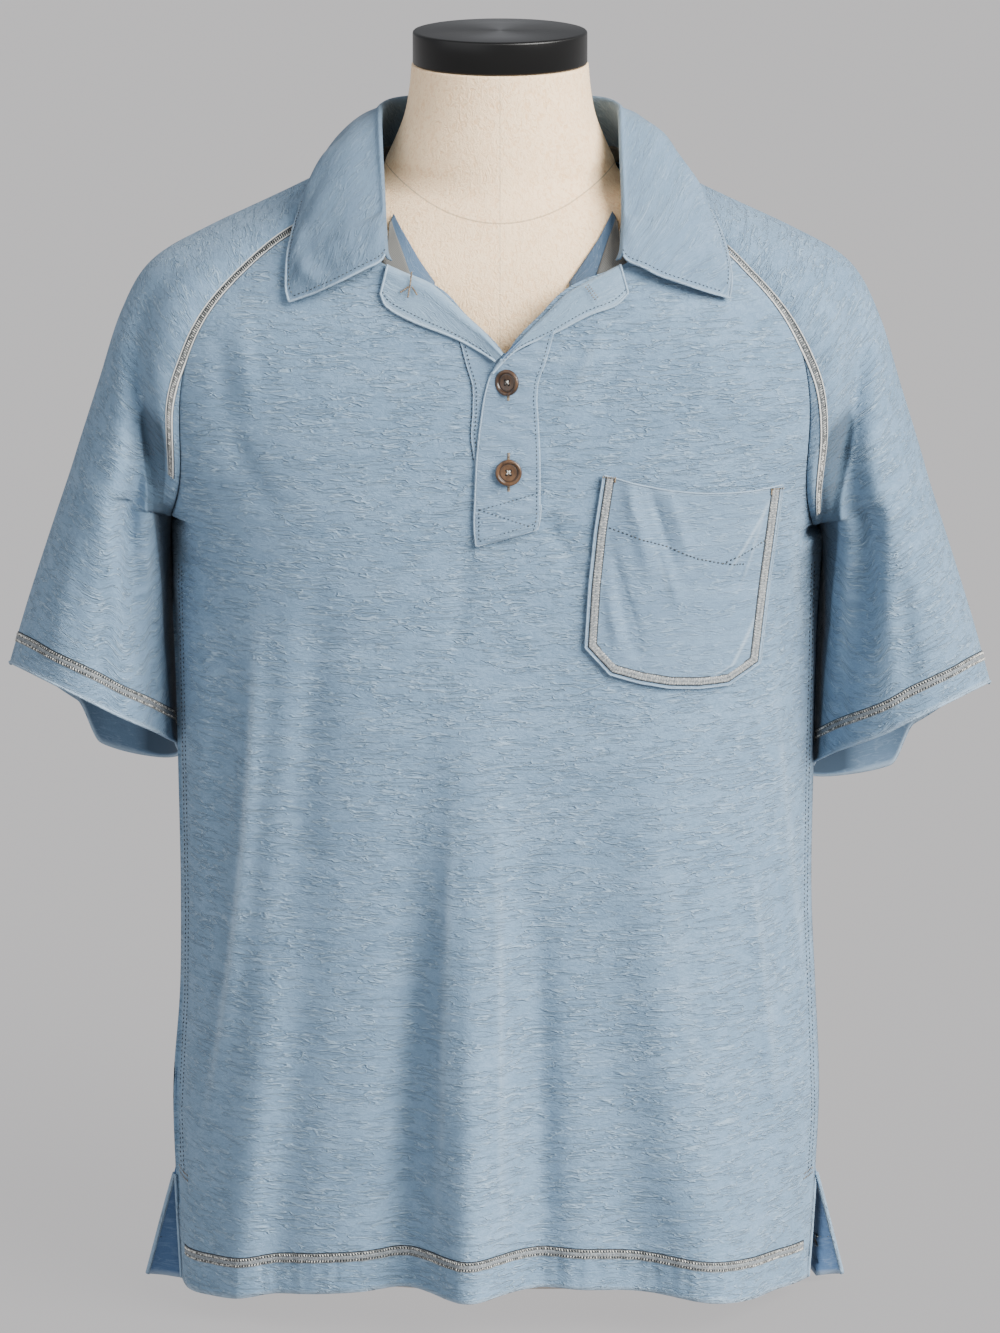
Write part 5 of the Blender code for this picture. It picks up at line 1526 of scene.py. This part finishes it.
# ---- The placket ----
# Two strips close the slit below the open neck: the outer one carries the buttonholes and ends
# in a slanted box, the inner one carries the buttons. Above them both turn out like small
# lapels and show their paler facing side.
TURN_RIGHT = (
    # roll x, z, free edge x, z
    (0.0020, 0.6580, -0.0030, 0.6530),
    (-0.0080, 0.6690, -0.0130, 0.6590),
    (-0.0211, 0.6809, -0.0297, 0.6675),
    (-0.0429, 0.7000, -0.0561, 0.6775),
    (-0.0620, 0.7080, -0.0720, 0.6860),
    (-0.0720, 0.7120, -0.0765, 0.6940),
)
TURN_LEFT = (
    (0.0030, 0.6570, -0.0052, 0.6450),
    (0.0152, 0.6690, 0.0100, 0.6595),
    (0.0297, 0.6830, 0.0340, 0.6700),
    (0.0430, 0.6954, 0.0570, 0.6815),
    (0.0640, 0.7060, 0.0735, 0.6870),
    (0.0770, 0.7120, 0.0820, 0.6945),
)
PLACKET = {
    "z": (0.5335, 0.5450, 0.5650, 0.5960, 0.6150, 0.6300, 0.6420, 0.6500, 0.6600, 0.6720),
    "near_x": (-0.0155, -0.0165, -0.0160, -0.0143, -0.0121, -0.0098, -0.0066, -0.0032, 0.0030,
               0.0085),
    "far_x": (0.0240, 0.0256, 0.0260, 0.0258, 0.0248, 0.0240, 0.0256, 0.0288, 0.0318, 0.0352),
}
LAY_GAP = 0.0003
PLACKET_OUT = 2.0 * LAY_GAP + TAPE + CLOTH


def placket_x(share, z):
    """x across the outer strip, from its free edge (0) to its stitched edge (1)."""
    near, far = read(PLACKET, "near_x", z), read(PLACKET, "far_x", z)
    return near + (far - near) * share


def placket_z(share, z):
    """z of a row of the strip: its foot slants up toward the stitched edge."""
    return z + 0.0110 * share * np.clip(1.0 - (z - PLACKET["z"][0]) / 0.03, 0.0, 1.0)


def on_front(x, z, out):
    """Point of the front's face, moved straight forward."""
    return front_face(x, z) - np.array([0.0, 1.0, 0.0]) * (out + 0.0 * (x + z))[..., None]


UNDERLAP = {
    "z": (0.5380, 0.5650, 0.5904, 0.6039, 0.6218, 0.6396, 0.6485, 0.6661, 0.6760),
    "x": (-0.0150, -0.0155, -0.0165, -0.0182, -0.0172, -0.0180, -0.0208, -0.0258, -0.0300),
}
share = np.linspace(0.0, 1.0, 20)[None, :]
t = np.linspace(0.0, 1.0, 80)[:, None]
z = 0.5400 + (0.6700 - 0.0160 * share - 0.5400) * t
edge = read(UNDERLAP, "x", z)
x = edge + (0.0100 - edge) * share
under = on_front(x, z, LAY_GAP + TAPE)
under_wear = 0.5 * smooth_step(1.0 - (x - edge) / 0.0012)
under_mesh = grid_mesh(
    "placket_button_strip", [under], 1, [np.stack([x, z], axis=-1)], [under_wear]
)
strip = add_cloth(
    "placket_button_strip", under_mesh, [trim_jersey, shaded_back_jersey], ["placket_under"], TAPE
)

share = np.linspace(0.0, 1.0, 34)[None, :]
t = np.linspace(0.0, 1.0, 96)[:, None]
z = PLACKET["z"][0] + (0.6530 + 0.0190 * share - PLACKET["z"][0]) * t
x = placket_x(share, z)
puff = 0.0006 * np.sin(math.pi * share) ** 0.6
puff = puff + 0.0003 * np.sin(z * 520.0 + x * 210.0) * np.sin(math.pi * share)
over = on_front(x, placket_z(share, z), PLACKET_OUT + puff)
to_side = np.minimum(share, 1.0 - share) * 0.040
over_wear = 0.5 * smooth_step(1.0 - to_side / 0.0014) + 0.0 * z
over_uv = np.stack([x, z + 0.0 * x], axis=-1)
over_mesh = grid_mesh("placket_outer_strip", [over], 1, [over_uv], [over_wear])
strip = add_cloth(
    "placket_outer_strip", over_mesh, [trim_jersey, shaded_back_jersey], ["placket_over"], CLOTH
)


def placket_line(shares, heights, inset=0.0):
    """Places x, z on the outer strip by its shares across and heights, moved in from its
    stitched edge."""
    shares, heights = np.asarray(shares, float), np.asarray(heights, float)
    x = placket_x(shares, heights) - inset
    return np.stack([x, placket_z(shares, heights)], axis=-1)


strip_rise = np.linspace(PLACKET["z"][0], 0.6700, 60)
near_rise = np.linspace(PLACKET["z"][0], 0.6455, 60)
far_edge = placket_line(0.0 * strip_rise + 1.0, strip_rise)
near_edge = placket_line(0.0 * near_rise, near_rise)
foot_share = np.linspace(0.0, 1.0, 20)
foot_edge = placket_line(foot_share, 0.0 * foot_share + PLACKET["z"][0])
rim_out = PLACKET_OUT - 0.0004
rolled_edge("placket_edge", [
    front_line(np.concatenate([near_edge[::-1], foot_edge[1:], far_edge[1:12]]), rim_out),
], 0.0007, trim_jersey, 0.45)
underlap_rise = np.linspace(0.5900, 0.6690, 40)
underlap_edge = np.stack([read(UNDERLAP, "x", underlap_rise), underlap_rise], axis=-1)
rolled_edge("underlap_edge", [front_line(underlap_edge, 0.0010)], 0.0005, trim_jersey, 0.2)
box_top = 0.5575
topstitch("placket_topstitch", [
    front_line(placket_line(0.0 * strip_rise + 1.0, strip_rise, 0.0024), PLACKET_OUT + 0.0002),
    front_line([(-0.0135, box_top), (-0.0135, 0.5370), (0.0225, 0.5485)], PLACKET_OUT + 0.0003),
    front_line([(-0.0125, box_top), (0.0232, 0.5680)], PLACKET_OUT + 0.0006),
    front_line([(-0.0125, box_top), (0.0185, 0.5468)], PLACKET_OUT + 0.0006),
    front_line(underlap_edge + np.array([0.0021, 0.0]), 0.0013),
    front_line(underlap_edge - np.array([0.0008, 0.0]), 0.0003),
], 0.0027, 0.0015, 0.00065)


def turn_grid(table, rows, columns):
    """A strip between a roll line and a free edge, lifted over the roll: high just behind it."""
    at = np.linspace(0.0, len(table) - 1.0, columns)
    roll_x, roll_z, edge_x, edge_z = smooth_rows(table, columns).T
    share = np.linspace(0.0, 1.0, rows)[:, None]
    lift = through((0.0, 0.12, 0.40, 0.70, 1.0), (0.0018, 0.0040, 0.0036, 0.0028, 0.0020), share)
    lift = lift + 0.0030 * np.clip(1.0 - at / 1.5, 0.0, 1.0)[None, :]
    x = roll_x + (edge_x - roll_x) * share
    z = roll_z + (edge_z - roll_z) * share
    return on_front(x, z, lift)


facing = jersey("washed_jersey_facing", (0.235, 0.345, 0.462), (0.160, 0.250, 0.352), slub=0.5)
for table, outward, turn_side in ((TURN_RIGHT, 1, "right"), (TURN_LEFT, -1, "left")):
    grid = turn_grid(table, 20, 90)
    share = np.linspace(0.0, 1.0, 20)[:, None]
    paling_and_shade = 0.8 * smooth_step((share - 0.90) / 0.10) + 0.25 * smooth_step(1.0 - share / 0.08)
    uv = np.stack([lengths(grid, 1), lengths(grid, 0)], axis=-1)
    mesh = grid_mesh(
        f"placket_lapel_{turn_side}", [grid], outward, [uv], [paling_and_shade + 0.0 * grid[..., 0]]
    )
    lapel = add_cloth(mesh.name, mesh, [facing, shaded_back_jersey], [f"placket_turn_{turn_side}"], CLOTH)
    normal = outward_normals(grid, np.array([0.0, 0.2, 0.6]))
    outer = np.concatenate([grid[-1], grid[::-1, -1][1:]])
    outer_up = np.concatenate([normal[-1], normal[::-1, -1][1:]])
    rolled_edge(f"lapel_edge_{turn_side}", [(outer, outer_up)], 0.0008, facing, 0.40)
    topstitch(
        f"lapel_topstitch_{turn_side}", [(grid[16, 8:], normal[16, 8:])], 0.0026, 0.0015, 0.0006
    )

# The third buttonhole and the thread of the third button, which is hidden, show on the
# turned-out fronts.
topstitch("third_button_thread", [
    front_line(((-0.0566, 0.7080), (-0.0574, 0.7010), (-0.0590, 0.6925)), 0.0060),
    front_line(((-0.0560, 0.6990), (-0.0530, 0.6945)), 0.0058),
    front_line(((-0.0590, 0.6990), (-0.0635, 0.6960)), 0.0056),
], 0.0013, 0.0015, 0.0012, tan_thread)
bar_tacks("third_buttonhole", [
    (0.0578, 0.6955, 0.0095, -52.0, 0.0014, 0.0060),
    (0.0594, 0.6968, 0.0095, -52.0, 0.0014, 0.0060),
])

# ---- The pocket ----
# A patch pocket on the wearer's left chest with cut corners; its hem is turned and stitched,
# its mouth sags, and it hangs in soft slanting folds from its upper corner.
POCKET = {
    "down": (0.00, 0.25, 0.50, 0.84, 1.00),
    "near_x": (0.0662, 0.0609, 0.0572, 0.0547, 0.0708),
    "near_z": (0.5795, 0.5441, 0.5080, 0.4668, 0.4487),
    "far_x": (0.1828, 0.1790, 0.1748, 0.1688, 0.1481),
    "far_z": (0.5660, 0.5350, 0.5020, 0.4490, 0.4372),
}
POCKET_FOLDS = (
    # down0, across0, down1, across1, bow, w0, w1, out
    (-0.05, 0.10, 0.50, 0.36, 0.01, 0.035, 0.050, 0.0028),
    (-0.05, 0.22, 0.48, 0.46, 0.02, 0.030, 0.040, -0.0026),
    (-0.05, 0.33, 0.40, 0.55, 0.01, 0.030, 0.040, 0.0018),
    (0.22, 0.06, 0.92, 0.34, 0.00, 0.030, 0.045, -0.0026),
    (0.26, -0.02, 0.88, 0.22, 0.00, 0.028, 0.040, 0.0022),
    (0.20, 0.34, 0.62, 0.52, 0.00, 0.025, 0.035, 0.0018),
    (-0.05, 0.98, 0.50, 0.70, 0.02, 0.016, 0.020, 0.0022),
    (0.02, 0.92, 0.60, 0.80, 0.02, 0.014, 0.018, 0.0014),
    (0.50, 1.00, 1.02, 0.72, 0.02, 0.014, 0.018, 0.0022),
    (0.30, 0.86, 0.55, 0.80, 0.00, 0.030, 0.040, -0.0018),
)


def pocket_place(down, across):
    """x and z on the front of a place on the pocket, its mouth and foot bent like its hem."""
    near_x, near_z, far_x, far_z = (
        np.interp(down, POCKET["down"], POCKET[name])
        for name in ("near_x", "near_z", "far_x", "far_z")
    )
    sag = 0.006 * np.sin(math.pi * across) * np.clip(1.0 - down, 0.0, 1.0) ** 1.5
    round_foot = 0.0045 * np.sin(math.pi * across) * np.clip(down, 0.0, 1.0) ** 3
    x = near_x + (far_x - near_x) * across
    return x, near_z + (far_z - near_z) * across - sag - round_foot


def pocket_face(down, across):
    """Point of the pocket's face: it stands off at its mouth and in its folds, inside its band."""
    x, z = pocket_place(down, across)
    rim = np.minimum(np.minimum(across, 1.0 - across) * 0.112, (1.0 - down) * 0.13)
    inside = smooth_step((rim - 0.006) / 0.014)
    puff = 0.0030 * inside * np.clip(1.0 - down, 0.0, 1.0) ** 0.7
    folds = crease(down, across, POCKET_FOLDS) * inside
    return on_front(x, z, POCKET_OUT + puff + np.maximum(folds, -0.8 * puff - 0.0004))


POCKET_OUT = 6.0 * LAY_GAP + CLOTH
# Lines rubbed pale along the pocket's ridges, and painted shade in two of its troughs.
POCKET_PALE_AND_SHADE = (
    (-0.04, 0.98, 0.48, 0.71, 0.02, 0.009, 0.010, 0.50),
    (0.50, 1.00, 1.00, 0.73, 0.02, 0.009, 0.010, 0.52),
    (0.02, 0.92, 0.58, 0.80, 0.02, 0.008, 0.009, 0.30),
    (0.22, 0.07, 0.90, 0.34, 0.00, 0.014, 0.018, -0.24),
    (-0.05, 0.16, 0.46, 0.42, 0.02, 0.012, 0.016, -0.16),
    (0.20, 0.30, 0.60, 0.48, 0.00, 0.010, 0.014, 0.16),
)
down = np.linspace(0.0, 1.0, 120)[:, None]
across = np.linspace(0.0, 1.0, 110)[None, :]
pocket_points = pocket_face(down + 0.0 * across, across + 0.0 * down)
x, z = pocket_place(down + 0.0 * across, across + 0.0 * down)
rim = np.minimum(np.minimum(across, 1.0 - across) * 0.112, (1.0 - down) * 0.13)
rim = np.minimum(rim, down * 0.13)
paling_and_shade = 0.5 * smooth_step(1.0 - rim / 0.0018)
paling_and_shade = paling_and_shade + crease(down, across, POCKET_PALE_AND_SHADE)
pocket_mesh = grid_mesh(
    "pocket_cloth", [pocket_points], -1, [np.stack([x, z], axis=-1)], [paling_and_shade]
)
pocket_cloth = add_cloth("pocket_cloth", pocket_mesh, [trim_jersey, shaded_back_jersey], ["pocket"])

POCKET_OUTLINE = np.stack([
    np.concatenate([
        pocket_place(np.array([0.0, 0.25, 0.5, 0.84, 1.0]), 0.0)[k],
        pocket_place(1.0, np.array([0.25, 0.5, 0.75, 1.0]))[k],
        pocket_place(np.array([0.84, 0.5, 0.25, 0.0]), 1.0)[k],
    ])
    for k in (0, 1)
], axis=-1)
outline_step = unit(np.diff(POCKET_OUTLINE, axis=0))
beside = np.stack([-outline_step[:, 1], outline_step[:, 0]], axis=-1)
before, behind = np.vstack([beside[:1], beside]), np.vstack([beside, beside[-1:]])
POCKET_MITRE = (before + behind) / (1.0 + (before * behind).sum(axis=1, keepdims=True))
outline_run = lengths(POCKET_OUTLINE, 0)


def pocket_rim_face(along, inward):
    """The pocket near its sewn edge: metres along its outline, and metres in from the band's
    middle. At a corner the lines meet on its mitre."""
    place = [np.interp(along, outline_run, POCKET_OUTLINE[:, k]) for k in (0, 1)]
    mitre = [np.interp(along, outline_run, POCKET_MITRE[:, k]) for k in (0, 1)]
    inset = POCKET_BAND_IN + inward
    return on_front(place[0] + inset * mitre[0], place[1] + inset * mitre[1], POCKET_OUT)


POCKET_BAND_IN = 0.0046
POCKET_PROFILE = (
    (-0.0031, -0.0003, -1.0), (-0.0029, 0.0002, -0.9), (-0.0024, 0.0002, -0.8),
    (-0.0020, 0.0005, 0.1), (-0.0012, 0.0007, 0.2), (0.0000, 0.0006, 0.0),
    (0.0012, 0.0007, 0.2), (0.0020, 0.0005, 0.1), (0.0024, 0.0002, -0.8), (0.0029, 0.0002, -0.9),
    (0.0033, -0.0003, -0.3), (0.0029, -0.0008, -1.0), (-0.0029, -0.0008, -1.0),
)
POCKET_ROWS = (
    (-0.0023, -0.0006, 0.0006, 0.0018, 0.00058), (-0.0008, 0.0010, -0.0006, 0.0018, 0.00050),
    (0.0008, 0.0024, 0.0006, 0.0018, 0.00058),
)
seam_band("pocket_band", pocket_rim_face, 0.0010, outline_run[-1] - 0.0010, POCKET_PROFILE,
          POCKET_ROWS, np.array([0.12, 0.30, 0.50]))
rim_points = front_line(POCKET_OUTLINE, POCKET_OUT - 0.0002)
rolled_edge("pocket_edge", [rim_points], 0.0006, trim_jersey, 0.35)
mouth_points = pocket_face(np.zeros(40), np.linspace(0.0, 1.0, 40))
mouth_up = np.broadcast_to([0.0, -1.0, 0.0], (40, 3))
rolled_edge("pocket_mouth", [(mouth_points, mouth_up)], 0.0006, trim_jersey, 0.40)


def on_pocket(path):
    """A line on the pocket through places x, z, read at the nearest of a fine grid's points."""
    path = np.array(path, float)
    run = lengths(path, 0)
    at = np.linspace(0.0, run[-1], max(int(run[-1] / 0.0010), 6))
    x, z = np.interp(at, run, path[:, 0]), np.interp(at, run, path[:, 1])
    fine_down = np.linspace(0.0, 1.0, 260)[:, None] + np.zeros((1, 260))
    fine_across = np.linspace(0.0, 1.0, 260)[None, :] + np.zeros((260, 1))
    grid_x, grid_z = pocket_place(fine_down, fine_across)
    near = np.argmin(
        (grid_x.ravel()[None] - x[:, None]) ** 2 + (grid_z.ravel()[None] - z[:, None]) ** 2, axis=1
    )
    points = pocket_face(fine_down.ravel()[near], fine_across.ravel()[near])
    points[:, 0], points[:, 2] = x, z
    return points, np.broadcast_to([0.0, -1.0, 0.0], points.shape)


POCKET_HEM = ((0.0706, 0.5452), (0.0886, 0.5389), (0.1086, 0.5316), (0.1267, 0.5233),
              (0.1437, 0.5186), (0.1574, 0.5165))
topstitch("pocket_hem_stitch", [
    on_pocket(POCKET_HEM), on_pocket(((0.1437, 0.5186), (0.1560, 0.5233), (0.1718, 0.5308))),
], 0.0029, 0.0018, 0.0010)
bar_tacks("pocket_tacks", [
    (0.0700, 0.5782, 0.0078, -4.0, 0.0016, POCKET_OUT + 0.0009),
    (0.1788, 0.5642, 0.0078, -4.0, 0.0016, POCKET_OUT + 0.0009),
    (0.0738, 0.5765, 0.0030, 86.0, 0.0013, POCKET_OUT + 0.0009),
    (0.1752, 0.5625, 0.0030, 86.0, 0.0013, POCKET_OUT + 0.0009),
])

# ---- The buttons ----
# Two brown horn buttons with a raised rim and a dished middle with four holes, sewn on with
# crossed thread.
BUTTON_RADIUS = 0.0085
BUTTON_THICK = 0.0032
horn = plain_material("horn", (0.050, 0.022, 0.009), 0.32, Coat_Weight=0.25, Coat_Roughness=0.25)
tree = horn.node_tree
place = object_place(tree)
streak = stretched(tree, place, 260.0, 260.0, 90.0, 4.0, 0.6, 1.5)
cloud = stretched(tree, place, 90.0, 90.0, 90.0, 3.0, 0.5, shift=4.0)
colour = blended(
    tree, ranged(tree, streak, 0.30, 0.70), (0.024, 0.011, 0.005), (0.090, 0.044, 0.019)
)
colour = blended(tree, ranged(tree, cloud, 0.40, 0.75, 0.0, 0.6), colour, (0.125, 0.066, 0.031))
paling_and_shade = pale_and_shade_share(tree)
colour = blended(tree, ranged(tree, paling_and_shade, 0.0, -1.0, smooth=False), colour, (0.006, 0.003, 0.002))
coloured(tree, colour)
bumped(tree, streak, 0.0002, 0.3)
# The holes are near-black discs: painted shadow.
hole_shadow = plain_material("button_hole", (0.006, 0.004, 0.003), 0.9)
r, t = BUTTON_RADIUS, BUTTON_THICK
button_profile = np.array([
    (0.0, 0.52 * t), (0.20 * r, 0.53 * t), (0.42 * r, 0.57 * t), (0.56 * r, 0.63 * t),
    (0.63 * r, 0.66 * t), (0.655 * r, 0.61 * t), (0.69 * r, 0.60 * t), (0.715 * r, 0.66 * t),
    (0.75 * r, 0.90 * t), (0.80 * r, 0.99 * t), (0.86 * r, t), (0.92 * r, 0.98 * t),
    (0.97 * r, 0.90 * t), (r, 0.76 * t), (r, 0.42 * t), (0.96 * r, 0.26 * t),
    (0.72 * r, 0.0), (0.0, 0.0),
])
SPIN_STEPS = 72
for button_name, x, z, turned_by in (
    ("button_upper", 0.0053, 0.6396, 30.0), ("button_lower", 0.0055, 0.5818, 0.0),
):
    tilt, swing = math.radians(86.0), math.radians(turned_by)
    rest = on_front(np.array(x), np.array(z), PLACKET_OUT + 0.0010 + 0.0020 * math.sin(swing))
    tip = np.array([
        [1.0, 0.0, 0.0],
        [0.0, math.cos(tilt), -math.sin(tilt)],
        [0.0, math.sin(tilt), math.cos(tilt)],
    ])
    swung = np.array([
        [math.cos(swing), math.sin(swing), 0.0],
        [-math.sin(swing), math.cos(swing), 0.0],
        [0.0, 0.0, 1.0],
    ])
    facing_out = swung @ tip
    # Painted shade: the groove inside the rim and the button's side are darkened.
    groove = np.exp(-(((button_profile[:, 0] / r - 0.67) / 0.035) ** 2))
    low = -0.9 * groove - 0.5 * (button_profile[:, 0] > 0.98 * r)
    low = np.repeat(low[:, None], SPIN_STEPS, axis=1)
    points = turned(button_profile, SPIN_STEPS) @ facing_out.T + rest
    mesh = welded(grid_mesh(f"{button_name}_horn", [points], -1, None, [low], closed=True))
    add_piece(mesh.name, mesh, [horn], [button_name])
    hole = turned(np.array([(0.0, 0.00018), (0.00075, 0.00016), (0.00085, -0.0004)]), 16)
    holes = [
        (hole + np.array([sx * 0.0014, sz * 0.0014, 0.535 * t])) @ facing_out.T + rest
        for sx in (-1, 1) for sz in (-1, 1)
    ]
    mesh = grid_mesh(f"{button_name}_holes", holes, -1, closed=True)
    add_piece(mesh.name, welded(mesh), [hole_shadow], [])
    strand = np.array([
        [(-0.0014, -0.0014), (0.0014, 0.0014)], [(-0.0017, -0.0011), (0.0011, 0.0017)],
        [(-0.0014, 0.0014), (0.0014, -0.0014)], [(-0.0011, 0.0017), (0.0017, -0.0011)],
    ])
    strand = np.concatenate([strand, np.full((4, 2, 1), 0.56 * t)], axis=2) @ facing_out.T + rest
    up = np.broadcast_to(facing_out @ np.array([0.0, 0.0, 1.0]), (4, 3))
    mesh = stitch_mesh(f"{button_name}_thread", strand[:, 0], strand[:, 1], up, 0.0007, 0.0006)
    add_piece(mesh.name, mesh, [ivory], [])
bar_tacks("buttonhole_tacks", [
    (0.0053, 0.6298, 0.0034, 90.0, 0.0022, PLACKET_OUT + 0.0008),
    (0.0055, 0.5922, 0.0040, 90.0, 0.0022, PLACKET_OUT + 0.0008),
    (0.0055, 0.5716, 0.0040, 90.0, 0.0022, PLACKET_OUT + 0.0008),
])
